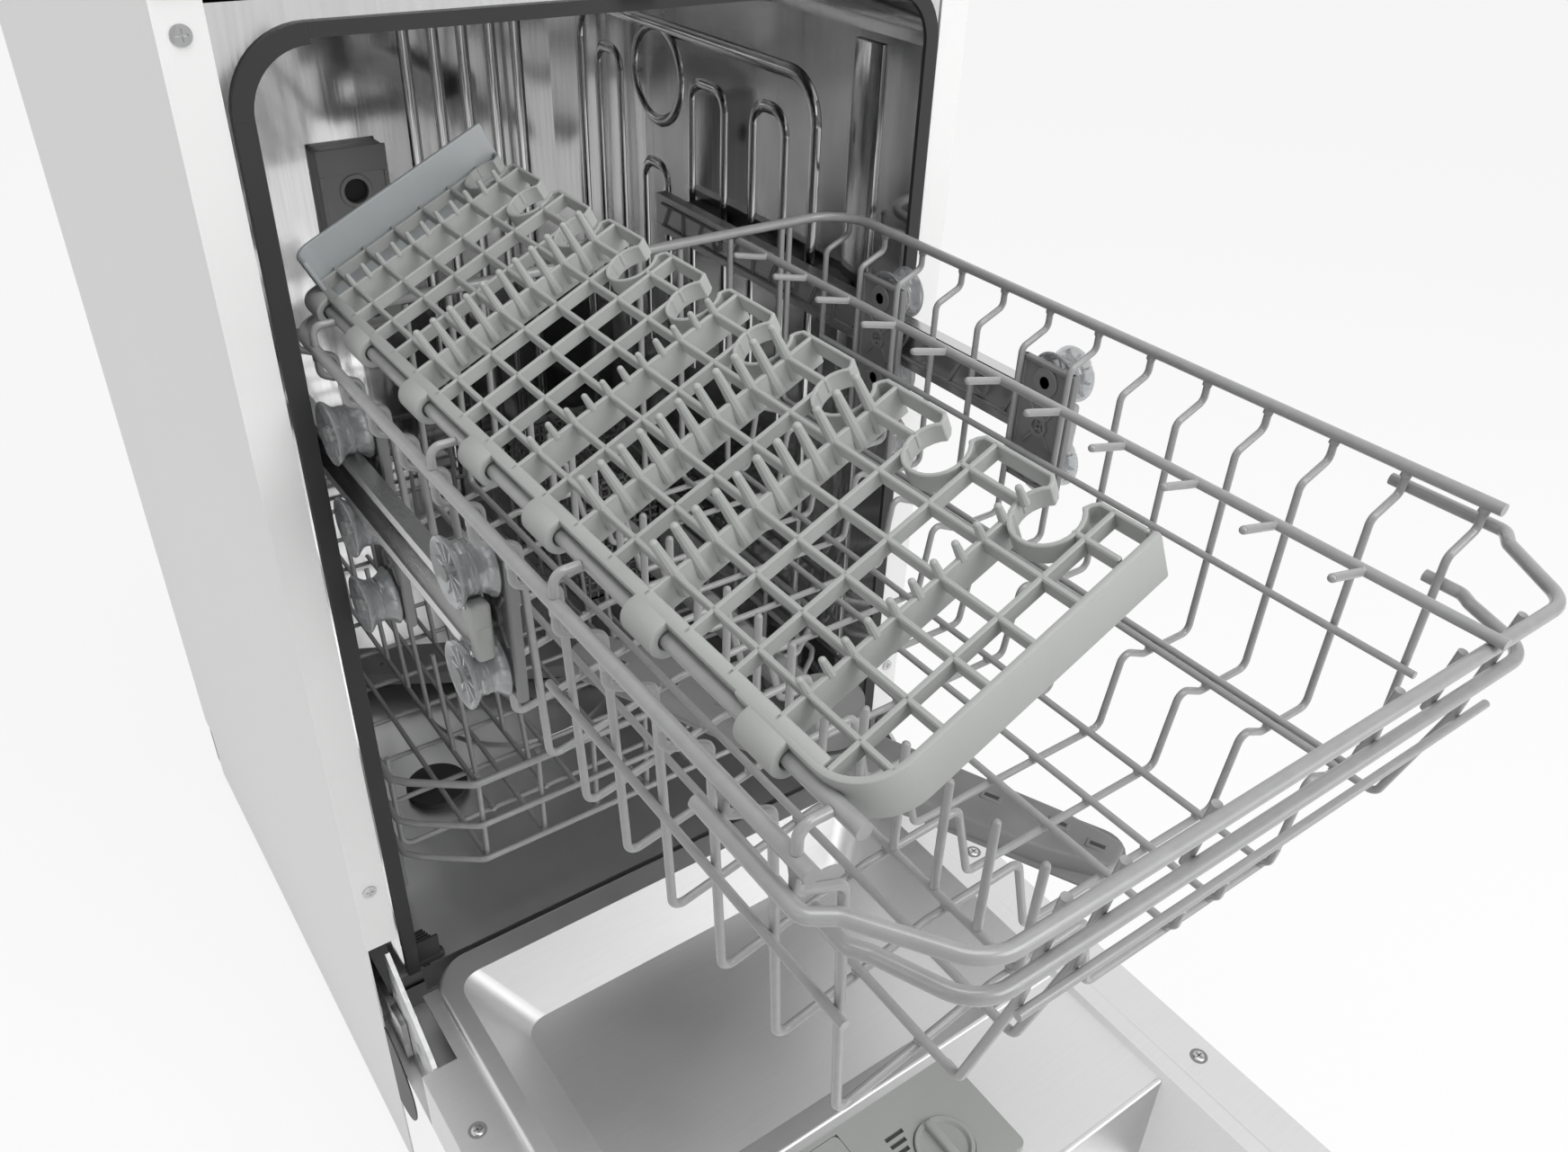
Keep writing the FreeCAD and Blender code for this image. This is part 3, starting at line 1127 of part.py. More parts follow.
# Checks and files
doc.recompute()
for obj in doc.Objects:
    if any(word in obj.State for word in ("Invalid", "Error")):
        raise RuntimeError(f"{obj.Name} ({obj.Label}) failed: {obj.State}")
os.makedirs("parts", exist_ok=True)
for node, obj in pieces.items():
    shape = obj.Shape
    if shape.isNull() or not shape.isValid() or not shape.Solids:
        raise RuntimeError(f"{node} has no valid solid")
for node, obj in pieces.items():
    obj.Shape.exportStep(f"parts/{node}.step")
print(len(pieces), "nodes")
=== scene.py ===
# %% [markdown]
# A slim dishwasher stands open: the door lies flat, the upper basket is pulled out, and a cup rack leans in
# it. The solids come ready made and already in place. This lesson dresses them: first the camera and the
# light, then a finish for every surface, then the pieces whose fine shapes the solids only hint at.

# %% Load the solids
import math

import bmesh
import bpy
from mathutils import Matrix, Vector


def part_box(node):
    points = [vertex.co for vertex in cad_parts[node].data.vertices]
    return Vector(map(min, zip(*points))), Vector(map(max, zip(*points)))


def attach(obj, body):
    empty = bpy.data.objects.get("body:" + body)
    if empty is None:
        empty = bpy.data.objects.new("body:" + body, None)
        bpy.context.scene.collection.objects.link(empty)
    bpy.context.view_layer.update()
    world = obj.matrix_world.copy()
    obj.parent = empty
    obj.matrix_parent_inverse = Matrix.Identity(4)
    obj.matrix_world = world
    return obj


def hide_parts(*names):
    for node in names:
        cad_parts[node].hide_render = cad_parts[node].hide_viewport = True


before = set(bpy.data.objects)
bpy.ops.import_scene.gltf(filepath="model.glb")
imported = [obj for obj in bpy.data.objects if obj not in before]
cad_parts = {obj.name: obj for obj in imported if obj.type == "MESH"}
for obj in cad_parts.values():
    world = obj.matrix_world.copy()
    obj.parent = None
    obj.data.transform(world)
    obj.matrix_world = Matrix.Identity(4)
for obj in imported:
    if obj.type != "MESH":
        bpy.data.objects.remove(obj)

scene = bpy.context.scene
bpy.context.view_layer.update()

# %% [markdown]
# The picture was taken from the front left, a little above the worktop's height, looking down into the open
# machine. A camera can be aimed with angles or by tracking a target. Here three directions are written down,
# because a matrix made of right, up and back places it without any doubt about turning order.

# %% Place the camera
EYE = (-0.33286, -0.85332, 0.92468)
YAW, PITCH, ROLL = math.radians(37.062), math.radians(34.026), math.radians(-2.515)
LENS_MM, SENSOR_MM, NEAREST = 28.42, 36.0, 0.02
forward = Vector((math.sin(YAW) * math.cos(PITCH), math.cos(YAW) * math.cos(PITCH), -math.sin(PITCH)))
level = Vector((math.cos(YAW), -math.sin(YAW), 0.0))
below = forward.cross(level)
right = math.cos(ROLL) * level + math.sin(ROLL) * below
down = -math.sin(ROLL) * level + math.cos(ROLL) * below
camera = bpy.data.objects.new("camera", bpy.data.cameras.new("camera"))
scene.collection.objects.link(camera)
camera.data.sensor_fit = "HORIZONTAL"
camera.data.sensor_width = SENSOR_MM
camera.data.lens = LENS_MM
camera.data.clip_start = NEAREST
turn = Matrix((right, -down, -forward)).transposed().to_4x4()
camera.matrix_world = Matrix.Translation(EYE) @ turn
scene.camera = camera
scene.view_settings.view_transform = "Standard"
print("camera looks along", [round(v, 3) for v in forward])

# %% [markdown]
# Finishes are made of shader nodes. Wiring them one by one is long to read, so a value that changes over a
# surface is wrapped in a small class: adding or multiplying two such values adds the Math node for it. Any
# other node comes from one method, which takes the node's type, its settings and what goes into its sockets.

# %% The classes that make finishes
class Value:
    """A number, colour or vector that comes out of a node."""

    def __init__(self, board, socket):
        self.board = board
        self.socket = socket

    def __add__(self, other):
        return self.board.maths("ADD", self, other)

    def __sub__(self, other):
        return self.board.maths("SUBTRACT", self, other)

    def __rsub__(self, other):
        return self.board.maths("SUBTRACT", other, self)

    def __mul__(self, other):
        return self.board.maths("MULTIPLY", self, other)

    __radd__ = __add__
    __rmul__ = __mul__


class Board:
    """A node tree to which nodes are added, for a finish or for the world."""

    def __init__(self, tree):
        self.tree = tree
        tree.nodes.clear()

    def node(self, kind, settings=None, sockets=None, out=0):
        made = self.tree.nodes.new(kind)
        for name, setting in (settings or {}).items():
            if name == "stops":
                self.set_stops(made.color_ramp, setting)
            else:
                setattr(made, name, setting)
        for name, given in (sockets or {}).items():
            if isinstance(given, Value):
                self.tree.links.new(given.socket, made.inputs[name])
            else:
                made.inputs[name].default_value = given
        return Value(self, made.outputs[out]) if made.outputs else None

    def set_stops(self, ramp, stops):
        while len(ramp.elements) < len(stops):
            ramp.elements.new(1.0)
        for element, (position, level) in zip(ramp.elements, stops):
            element.position = position
            element.color = (level, level, level, 1.0)

    def maths(self, operation, first, second):
        return self.node("ShaderNodeMath", {"operation": operation}, {0: first, 1: second})

    def largest(self, first, second):
        return self.maths("MAXIMUM", first, second)

    def mix(self, factor, first, second):
        return self.node("ShaderNodeMix", {"data_type": "RGBA"}, {0: factor, 6: first, 7: second}, 2)

    def ramp(self, value, *stops):
        return self.node("ShaderNodeValToRGB", {"stops": stops}, {0: value})


class Finish(Board):
    """A surface finish, with the patterns that these finishes share."""

    def __init__(self, name):
        self.material = bpy.data.materials.new(name)
        self.material.use_nodes = True
        super().__init__(self.material.node_tree)
        self.place = self.node("ShaderNodeTexCoord", out="Object")

    def noise(self, scale, detail=2.0, stretch=(1.0, 1.0, 1.0)):
        stretched = self.node("ShaderNodeMapping", None, {"Vector": self.place, "Scale": stretch})
        return self.node("ShaderNodeTexNoise", None, {"Vector": stretched, "Scale": scale, "Detail": detail})

    def cells(self, scale, feature="F1", out="Distance"):
        sockets = {"Vector": self.place, "Scale": scale}
        return self.node("ShaderNodeTexVoronoi", {"feature": feature}, sockets, out)

    def bump(self, height, depth, strength=1.0, under=None):
        sockets = {"Height": height, "Distance": depth, "Strength": strength}
        if under:
            sockets["Normal"] = under
        return self.node("ShaderNodeBump", None, sockets)

    def surface(self, **sockets):
        named = {name.replace("_", " "): given for name, given in sockets.items()}
        shader = self.node("ShaderNodeBsdfPrincipled", None, named)
        self.node("ShaderNodeOutputMaterial", None, {"Surface": shader})
        return self.material


def grey(level, warm=0.0):
    """A colour of that brightness, a touch warmer or cooler."""
    return (level * (1 + warm), level, level * (1 - warm), 1.0)


print("finish classes ready")

# %% [markdown]
# The studio is plain: a pale floor, a white surround and large soft lamps. The white behind the machine could
# come from strong lamps, but that would bleach the machine too. So the surround glows at full white for rays
# that come from the camera or pass through clear plastic, and lights the object at a lower level. Polished
# steel shows what stands round it: a bright backdrop behind the machine and the dark room in front of it. So
# for gloss the surround falls off towards the front.

# %% Light the studio
world = bpy.data.worlds.new("studio")
world.use_nodes = True
scene.world = world
surround = Board(world.node_tree)
AMBIENT = 0.50
ROOM = ((0.0, 0.18), (0.32, 0.22), (0.60, 0.92), (0.72, 1.0))
seen = surround.node("ShaderNodeLightPath", out="Is Camera Ray")
seen = surround.largest(seen, surround.node("ShaderNodeLightPath", out="Is Transmission Ray"))
gloss = surround.node("ShaderNodeLightPath", out="Is Glossy Ray")
direction = surround.node("ShaderNodeTexCoord", out="Generated")
depth = surround.node("ShaderNodeSeparateXYZ", None, {0: direction}, "Y")
room = surround.ramp(depth * 0.5 + 0.5, *ROOM)
strength = seen + (1 - seen) * (gloss * room + (1 - gloss) * AMBIENT)
glow = surround.node("ShaderNodeBackground", None, {"Color": (1, 1, 1, 1), "Strength": strength})
surround.node("ShaderNodeOutputWorld", None, {"Surface": glow})


def lamp(name, eye, target, size, watts):
    """A square soft lamp at eye, turned to shine on target."""
    light = bpy.data.lights.new(name, "AREA")
    light.size = size
    light.energy = watts
    obj = bpy.data.objects.new(name, light)
    scene.collection.objects.link(obj)
    obj.location = eye
    obj.rotation_euler = (Vector(target) - Vector(eye)).to_track_quat("-Z", "Y").to_euler()


lamp("front_lamp", (0.7, -2.4, 2.1), (0.0, -0.3, 0.5), 1.3, 31)
lamp("top_lamp", (-0.1, -0.9, 2.6), (0.0, -0.4, 0.4), 1.1, 17)
lamp("left_lamp", (-2.4, -0.9, 1.5), (0.0, -0.2, 0.5), 1.2, 5)
lamp("right_lamp", (1.3, -2.3, 0.95), (0.0, -0.5, 0.25), 1.0, 7)

# %% [markdown]
# A pale sheet lies under the machine and runs on into the backdrop. A matt sheet alone would look grey under
# these modest lamps, so for the rays that see it, it also glows. The glow has the larger share, and the matt
# share keeps the machine's shadow.

# %% Lay the floor
FLOOR_HALF, FLOOR_GLOW = 9.0, 0.85
floor_mesh = bmesh.new()
bmesh.ops.create_grid(floor_mesh, x_segments=1, y_segments=1, size=FLOOR_HALF)
floor_data = bpy.data.meshes.new("floor")
floor_mesh.to_mesh(floor_data)
floor_mesh.free()
floor = bpy.data.objects.new("floor", floor_data)
scene.collection.objects.link(floor)
floor_finish = Finish("floor_pale")
seen = floor_finish.node("ShaderNodeLightPath", out="Is Camera Ray")
for ray in ("Is Glossy Ray", "Is Transmission Ray"):
    seen = floor_finish.largest(seen, floor_finish.node("ShaderNodeLightPath", out=ray))
matte = floor_finish.node("ShaderNodeBsdfDiffuse", None, {"Color": grey(0.86)})
white = floor_finish.node("ShaderNodeEmission", None, {"Color": grey(1.0), "Strength": 1.0})
floor_mix = floor_finish.node("ShaderNodeMixShader", None, {0: seen * FLOOR_GLOW, 1: matte, 2: white})
floor_finish.node("ShaderNodeOutputMaterial", None, {"Surface": floor_mix})
floor_data.materials.append(floor_finish.material)
print("floor laid")

# %% [markdown]
# The cabinet is sheet steel with baked white enamel. Enamel isn't perfectly flat: it has a faint orange peel,
# and a thin gloss over it. A plain white would look like paper, so a fine bump and a slow change of gloss
# are added. The worktop is a laminate, with a finer, drier grain.

# %% White enamel and worktop laminate
def white_enamel():
    paint = Finish("white_enamel")
    peel = paint.noise(620.0, 3.0)
    cloud = paint.noise(9.0, 2.0)
    return paint.surface(
        Base_Color=paint.mix(cloud, grey(0.785, 0.003), grey(0.80, 0.002)),
        Roughness=0.36 + 0.06 * cloud,
        Normal=paint.bump(peel, 0.00004, 0.4),
        Coat_Weight=0.15,
        Coat_Roughness=0.25,
    )


def worktop_laminate():
    board = Finish("worktop_laminate")
    grain = board.noise(1500.0, 4.0)
    cloud = board.noise(14.0, 2.0)
    return board.surface(
        Base_Color=board.mix(cloud, grey(0.78, 0.006), grey(0.82, 0.004)),
        Roughness=0.42 + 0.12 * grain,
        Normal=board.bump(grain, 0.00008, 0.6),
    )


ENAMEL = white_enamel()
LAMINATE = worktop_laminate()
print("made", ENAMEL.name, LAMINATE.name)

# %% [markdown]
# Four kinds of bare steel meet here. The tub is polished like a mirror, yet the rolling left faint upright
# streaks and the pressing left shallow waves, and these bend every reflection. Its bottom stays satin, so the
# gloss is held back near the floor's height. The door's inner sheet is duller, the rails are drawn
# lengthways, and the hinge plates are zinc plated with small crystals.

# %% Steel finishes
def polished_tub():
    steel = Finish("polished_tub_steel")
    floor_height, fade = 0.205, 40.0
    streak = steel.noise(60.0, 3.0, (6.0, 6.0, 0.25))
    wave = steel.noise(7.0, 1.0, (1.0, 1.0, 0.35))
    smear = steel.noise(18.0, 3.0)
    waves = steel.bump(wave, 0.012, 0.5)
    height = steel.node("ShaderNodeSeparateXYZ", None, {0: steel.place}, "Z")
    bottom = steel.ramp((height - floor_height) * fade, (0.0, 1.0), (0.35, 1.0), (0.75, 0.0))
    wall = steel.mix(streak, grey(0.56), grey(0.70))
    return steel.surface(
        Base_Color=steel.mix(bottom, wall, grey(0.74)),
        Metallic=1.0,
        Roughness=0.06 + 0.06 * smear + 0.30 * bottom,
        Normal=steel.bump(streak, 0.0001, 0.2, waves),
    )


def satin_steel(name, dark, pale, rough, along):
    steel = Finish(name)
    line = steel.noise(900.0, 3.0, along)
    cloud = steel.noise(8.0, 2.0)
    return steel.surface(
        Base_Color=steel.mix(line * 0.6 + cloud * 0.4, grey(dark), grey(pale)),
        Metallic=1.0,
        Roughness=rough + 0.12 * cloud + 0.06 * line,
        Normal=steel.bump(line, 0.00005, 0.5),
    )


def zinc_plate():
    zinc = Finish("zinc_plate")
    crystal = zinc.cells(140.0, out="Color")
    spangle = zinc.node("ShaderNodeSeparateColor", None, {0: crystal}, "Red")
    return zinc.surface(
        Base_Color=zinc.mix(spangle, grey(0.50), grey(0.66, -0.01)),
        Metallic=1.0,
        Roughness=0.30 + 0.16 * spangle,
        Normal=zinc.bump(spangle, 0.0001, 0.3),
    )


TUB_STEEL = polished_tub()
LINER_STEEL = satin_steel("door_liner_steel", 0.70, 0.80, 0.38, (0.03, 1.0, 0.03))
RAIL_STEEL = satin_steel("drawn_rail_steel", 0.55, 0.70, 0.20, (1.0, 0.02, 1.0))
ZINC = zinc_plate()
print("made", TUB_STEEL.name, LINER_STEEL.name, RAIL_STEEL.name, ZINC.name)

# %% [markdown]
# The baskets are steel wire dipped in grey nylon, which runs a little before it sets: smooth, softly glossy
# and slightly uneven. The plastics differ in grain and in grey. Each gets a mould grain and a cloudy gloss.

# %% Wire coat, plastics and rubber
def wire_coat():
    coat = Finish("wire_coat")
    run = coat.noise(160.0, 3.0)
    pit = coat.noise(1400.0, 2.0)
    return coat.surface(
        Base_Color=coat.mix(run, grey(0.27, -0.002), grey(0.335, -0.002)),
        Roughness=0.26 + 0.12 * run,
        Normal=coat.bump(run * 0.7 + pit * 0.3, 0.00025, 0.5),
        Coat_Weight=0.45,
        Coat_Roughness=0.10,
    )


def moulded(name, dark, pale, rough=0.45, grain=1300.0, depth=0.00008, tint=(1.0, 1.0, 1.0)):
    plastic = Finish(name)
    pebble = plastic.noise(grain, 3.0)
    cloud = plastic.noise(22.0, 3.0)
    shade = [tuple(level * part for part in tint) + (1.0,) for level in (dark, pale)]
    return plastic.surface(
        Base_Color=plastic.mix(cloud * 0.7 + pebble * 0.3, shade[0], shade[1]),
        Roughness=rough + 0.14 * pebble,
        Normal=plastic.bump(pebble, depth, 0.6),
    )


def clear_roller():
    plastic = Finish("roller_plastic")
    swirl = plastic.noise(70.0, 3.0)
    return plastic.surface(
        Base_Color=plastic.mix(swirl, grey(0.58, -0.02), grey(0.72, -0.015)),
        Roughness=0.08 + 0.08 * swirl,
        Normal=plastic.bump(swirl, 0.0002, 0.3),
        Transmission_Weight=0.68,
        IOR=1.46,
        Coat_Weight=0.5,
        Coat_Roughness=0.06,
    )


def circuit_board():
    board = Finish("circuit_board")
    track = board.cells(260.0, feature="DISTANCE_TO_EDGE")
    lines = board.ramp(track, (0.0, 1.0), (0.09, 1.0), (0.12, 0.0))
    return board.surface(
        Base_Color=board.mix(lines, (0.02, 0.10, 0.05, 1.0), (0.05, 0.22, 0.10, 1.0)),
        Roughness=0.34 + 0.1 * lines,
        Normal=board.bump(lines, 0.0002, 0.5),
    )


WIRE = wire_coat()
RACK_GREY = moulded("rack_plastic", 0.335, 0.405, 0.42, 900.0, 0.00006, (0.985, 1.01, 0.985))
WALL_GREY = moulded("rack_end_plastic", 0.37, 0.43, 0.30, 700.0, 0.00003, (0.95, 1.01, 1.03))
MID_GREY = moulded("mid_grey_plastic", 0.18, 0.235, 0.40)
PALE_GREY = moulded("pale_grey_plastic", 0.31, 0.37, 0.38, 1000.0, 0.00006, (0.985, 1.01, 0.98))
DARK = moulded("dark_plastic", 0.030, 0.050, 0.42)
WHITE_PLASTIC = moulded("white_plastic", 0.72, 0.80, 0.34)
RUBBER = moulded("black_rubber", 0.018, 0.030, 0.58, 1800.0, 0.00012)
ROLLER = clear_roller()
CIRCUIT = circuit_board()
print("plastics:", [m.name for m in (WIRE, RACK_GREY, MID_GREY, DARK, ROLLER)])

# %% [markdown]
# Every solid gets a finish, also those that a finer piece stands for later. The list goes finish by finish,
# as a paint shop would sort its trays.

# %% Hand the finishes to the solids
TRAYS = {
    ENAMEL: "left_side_panel right_side_panel outer_door_panel control_panel",
    LAMINATE: "worktop",
    TUB_STEEL: "tub filter_plate",
    LINER_STEEL: "inner_door_panel",
    RAIL_STEEL: "left_rail right_rail heater_ring",
    ZINC: "rear_panel hinge_arms hinge_brackets door_springs panel_screws door_screws latch_striker",
    WIRE: "upper_basket lower_basket",
    RACK_GREY: "cup_rack",
    MID_GREY: "rail_guides wheel_brackets feed_pipe upper_spray_arm lower_spray_arm sump softener "
              "filter_cylinder lower_wheel_holders cutlery_basket circulation_pump drain_outlet",
    PALE_GREY: "docking_block dispenser_body dispenser_lid rinse_dial",
    # hinge_guards are dark plates in the crescent beside each hinge. That crescent is partly a shadow gap, so
    # their dark is partly painted shade.
    DARK: "left_rail_cap right_rail_cap hinge_guards kick_plate levelling_feet base_pan drain_pump "
          "inlet_valve door_latch salt_cap",
    WHITE_PLASTIC: "power_button start_button program_button",
    RUBBER: "door_gasket lower_seals",
    ROLLER: "front_upper_wheels front_lower_wheels rear_upper_wheels rear_lower_wheels rear_spare_wheels "
            "lower_front_wheels lower_rear_wheels",
    CIRCUIT: "control_board",
}


def dress(node, finish):
    """Puts the finish in every slot of a solid."""
    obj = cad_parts[node]
    if not obj.material_slots:
        obj.data.materials.append(finish)
    for tray in obj.material_slots:
        tray.material = finish


dressed = set()
for finish, names in TRAYS.items():
    for node in names.split():
        dress(node, finish)
        dressed.add(node)
print("dressed", len(dressed), "of", len(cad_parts), "left:", sorted(set(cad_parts) - dressed))

# %% [markdown]
# The fine pieces are drawn in millimetres, as on a workshop drawing, and scaled to metres at the end. Each
# part is shaped in a mesh of its own and then added to its piece, so that an operator never touches a
# neighbour. A path of edges is drawn with extrude and spin, because the same path can become a wall, a clip
# or a loop.

# %% Modelling tools
MM = 0.001
CLOSE = 0.002
UP = Vector((0, 0, 1))
ALONG_X, ALONG_Y = (1, 0, 0), (0, 1, 0)
SIDES = (("left", -1), ("right", 1))


def across(side, inner, outer):
    """The x values of a part on one side, low one first."""
    return sorted((side * inner, side * outer))


def add(shape, part, finish=0, place=None):
    """Closes a part, gives it a finish and adds it to a shape."""
    bmesh.ops.remove_doubles(part, verts=part.verts, dist=CLOSE)
    bmesh.ops.recalc_face_normals(part, faces=part.faces)
    if place is not None:
        bmesh.ops.transform(part, matrix=place, verts=part.verts)
    for face in part.faces:
        face.material_index = finish
    holder = bpy.data.meshes.new("holder")
    part.to_mesh(holder)
    part.free()
    shape.from_mesh(holder)
    bpy.data.meshes.remove(holder)


def keep(name, shape, finishes, body, slot, *nodes, sharp=40.0):
    """Makes the piece an object in metres that rides on a body and may stand for solids."""
    bmesh.ops.scale(shape, vec=(MM, MM, MM), verts=shape.verts)
    mesh = bpy.data.meshes.new(name)
    shape.to_mesh(mesh)
    shape.free()
    for finish in finishes:
        mesh.materials.append(finish)
    mesh.shade_smooth()
    mesh.set_sharp_from_angle(angle=math.radians(sharp))
    obj = bpy.data.objects.new(name, mesh)
    scene.collection.objects.link(obj)
    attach(obj, body)
    if nodes:
        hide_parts(*nodes)
    print(name, "has", len(mesh.polygons), "faces")


def soften(part, offset, segments=2, corner=50.0):
    """Rounds the edges where two faces meet at more than the corner angle."""
    bmesh.ops.remove_doubles(part, verts=part.verts, dist=CLOSE)
    limit = math.radians(corner)
    edges = [edge for edge in part.edges if edge.calc_face_angle(0.0) > limit]
    bmesh.ops.bevel(part, geom=edges, offset=offset, segments=segments, profile=0.5, affect="EDGES",
                    material=-1, clamp_overlap=True)


def block(shape, low, high, round_off=0.0, finish=0, steps=1, place=None):
    """A box between two corners with rounded edges."""
    part = bmesh.new()
    low, high = Vector(low), Vector(high)
    bmesh.ops.create_cube(part, size=1.0)
    bmesh.ops.scale(part, vec=high - low, verts=part.verts)
    bmesh.ops.translate(part, vec=(low + high) / 2, verts=part.verts)
    if round_off:
        soften(part, round_off, steps)
    add(shape, part, finish, place)


def stick(shape, start, end, thick, thin=None, sides=10):
    """A round bar from start to end, tapered if thin is given."""
    part = bmesh.new()
    start, end = Vector(start), Vector(end)
    run = end - start
    aim = Matrix.Translation((start + end) / 2) @ run.to_track_quat("Z", "Y").to_matrix().to_4x4()
    bmesh.ops.create_cone(part, cap_ends=True, segments=sides, radius1=thick,
                          radius2=thick if thin is None else thin, depth=run.length, matrix=aim)
    add(shape, part)


def ball(shape, centre, radius, squeeze=(1, 1, 1), fine=2):
    """A small ball, squeezed along the axes if wanted."""
    part = bmesh.new()
    bmesh.ops.create_icosphere(part, subdivisions=fine, radius=radius)
    bmesh.ops.scale(part, vec=squeeze, verts=part.verts)
    bmesh.ops.translate(part, vec=centre, verts=part.verts)
    add(shape, part)


def is_point(move):
    """Whether a move is the next point. If not, it is a turn: a centre, an angle and a number of steps."""
    return not isinstance(move[0], (tuple, Vector))


def path(start, *moves, axis=UP):
    """A line of edges from start through straight moves and turns about the axis."""
    part = bmesh.new()
    last = bmesh.ops.create_vert(part, co=start)["vert"][0]
    for move in moves:
        if is_point(move):
            last = bmesh.ops.extrude_vert_indiv(part, verts=[last])["verts"][0]
            last.co = Vector(move)
        else:
            centre, angle, steps = move
            made = bmesh.ops.spin(part, geom=[last], cent=centre, axis=axis, angle=math.radians(angle),
                                  steps=steps)
            last = [item for item in made["geom_last"] if isinstance(item, bmesh.types.BMVert)][0]
    return part


def pull(part, geometry, move):
    """Moves the vertices of what an extrude gave back."""
    bmesh.ops.translate(part, vec=move, verts=[v for v in geometry if isinstance(v, bmesh.types.BMVert)])


def ribbon(shape, part, drop, thick, round_off, finish=0, steps=2):
    """Turns a path into a wall: the edges are pulled along drop and the sheet gets a thickness."""
    pull(part, bmesh.ops.extrude_edge_only(part, edges=part.edges[:])["geom"], drop)
    bmesh.ops.recalc_face_normals(part, faces=part.faces)
    bmesh.ops.solidify(part, geom=part.faces[:], thickness=thick)
    soften(part, round_off, steps)
    add(shape, part, finish)


def turned(shape, profile, origin, axis, steps=32, finish=0, place=None):
    """A lathe: the profile's points are spun once round an axis through origin."""
    part = path(profile[0], *profile[1:])
    bmesh.ops.spin(part, geom=part.verts[:] + part.edges[:], cent=origin, axis=axis, angle=math.tau,
                   steps=steps, use_merge=True)
    add(shape, part, finish, place)


def eyelet(shape, inner, outer, y, z, bore, rim):
    """A ring about an axis along X, between two x values."""
    outline = ((inner, bore), (inner, rim), (outer, rim), (outer, bore), (inner, bore))
    turned(shape, [(x, y + radius, z) for x, radius in outline], (inner, y, z), ALONG_X, 24)


print("modelling tools ready")

# %% [markdown]
# The cup rack is one moulding: a grid of thin bars under a flat deck, hung on a rod by seven curled clips.
# Three rows carry leaning spikes and three carry short nubs, and along the outer edge loops hold the stems of
# glasses. It could be cut from a plate with booleans. Bars and ribbons are cleaner and keep every edge sharp.

# %% Cup rack
RACK_PLACE = Matrix.Translation((-168.0, -674.5, 679.7)) @ Matrix.Rotation(math.radians(-26), 4, "Y")
DECK, RACK_WIDE, RACK_LONG = 7.5, 121.0, 452.0
BAR, BAR_DEEP, ROW_DEEP, BAR_ROUND = 2.0, 6.5, 13.5, 0.5
LONG_PITCH, CROSS_PITCH, LOOP_PITCH = 18.05, 25.1, 50.2
CROSS_AT = [16.2 + CROSS_PITCH * i for i in range(18)]
LONG_AT = [16.6 + LONG_PITCH * i for i in range(6)]
SPIKE_ROWS, NUB_ROWS = (4, 6, 12), (1, 8, 16)
CLIP_AT = [RACK_LONG * share for share in (0.094, 0.244, 0.409, 0.538, 0.679, 0.83, 0.958)]
LOOP_AT = [31.5 + LOOP_PITCH * i for i in range(9)]
LOOP_MIDDLE, LOOP_ROUND, LOOP_GAP, NECK_HALF, NECK_OUT = 106.5, 10.8, 10.4, 6.4, 8.7
BAR_END, EDGE_X, END_ROOM = 120.0, 120.2, 8.0

rack = bmesh.new()
for x in LONG_AT[:-1]:
    block(rack, (x - BAR / 2, 1, DECK - BAR_DEEP), (x + BAR / 2, RACK_LONG - 2, DECK), BAR_ROUND)
outer_x = LONG_AT[-1]
for near, far in zip([-END_ROOM] + LOOP_AT, LOOP_AT + [RACK_LONG + END_ROOM]):
    block(rack, (outer_x - BAR / 2, near + LOOP_GAP, DECK - BAR_DEEP),
          (outer_x + BAR / 2, far - LOOP_GAP, DECK), BAR_ROUND)
for row, y in enumerate(CROSS_AT):
    deep = ROW_DEEP if row in SPIKE_ROWS + NUB_ROWS else BAR_DEEP
    beside = min(abs(y - middle) for middle in LOOP_AT)
    reach = BAR_END if beside > LOOP_ROUND else LOOP_MIDDLE - math.sqrt(LOOP_ROUND ** 2 - beside ** 2)
    block(rack, (4, y - BAR / 2, DECK - deep), (reach, y + BAR / 2, DECK), BAR_ROUND)
print("rack grid:", len(rack.faces), "faces")

# %% Cup rack: strip, clips, end walls and loops
CLIP_LONG, CLIP_OUTER, CLIP_WALL, CLIP_CURL = 20.0, 7.3, 3.6, -196
FRONT_DEEP, END_DEEP, END_TOP, EDGE_DEEP = 20.5, 33.0, DECK + 17, 8.5
MOUTH_X, MOUTH_WIDE, MOUTH_HALF = 118, 9.8, 7.6
block(rack, (2.2, 18, DECK - 5), (7.6, 440, DECK), 1.3, steps=2)
for y in CLIP_AT:
    near = y - CLIP_LONG / 2
    curl = ((0, near, 0), CLIP_CURL, 20)
    clip = path((5.5, near, CLIP_OUTER), (0.3, near, CLIP_OUTER), curl, axis=ALONG_Y)
    ribbon(rack, clip, (0, CLIP_LONG, 0), CLIP_WALL, 1.1)
front_wall = path((4.2, 60, DECK), (4.2, 20, DECK), ((22.2, 20, DECK), 90, 10), (RACK_WIDE, 2, DECK))
ribbon(rack, front_wall, (0, 0, -FRONT_DEEP), 2.8, 0.9)
for x in LONG_AT:
    block(rack, (x + 1, 0.1, DECK - 19.5), (x + 1.8, 1.2, DECK - 1.4), 0.3)
end_wall = path((3.4, 431, END_TOP), (3.4, 440, END_TOP), ((13.4, 440, END_TOP), -90, 8),
                (RACK_WIDE, RACK_LONG - 2, END_TOP))
ribbon(rack, end_wall, (0, 0, -END_DEEP), 2.6, 1.1, finish=1, steps=3)
neck_x = LOOP_MIDDLE + NECK_OUT
loop_turn = 2 * math.degrees(math.atan2(NECK_HALF, NECK_OUT)) - 360
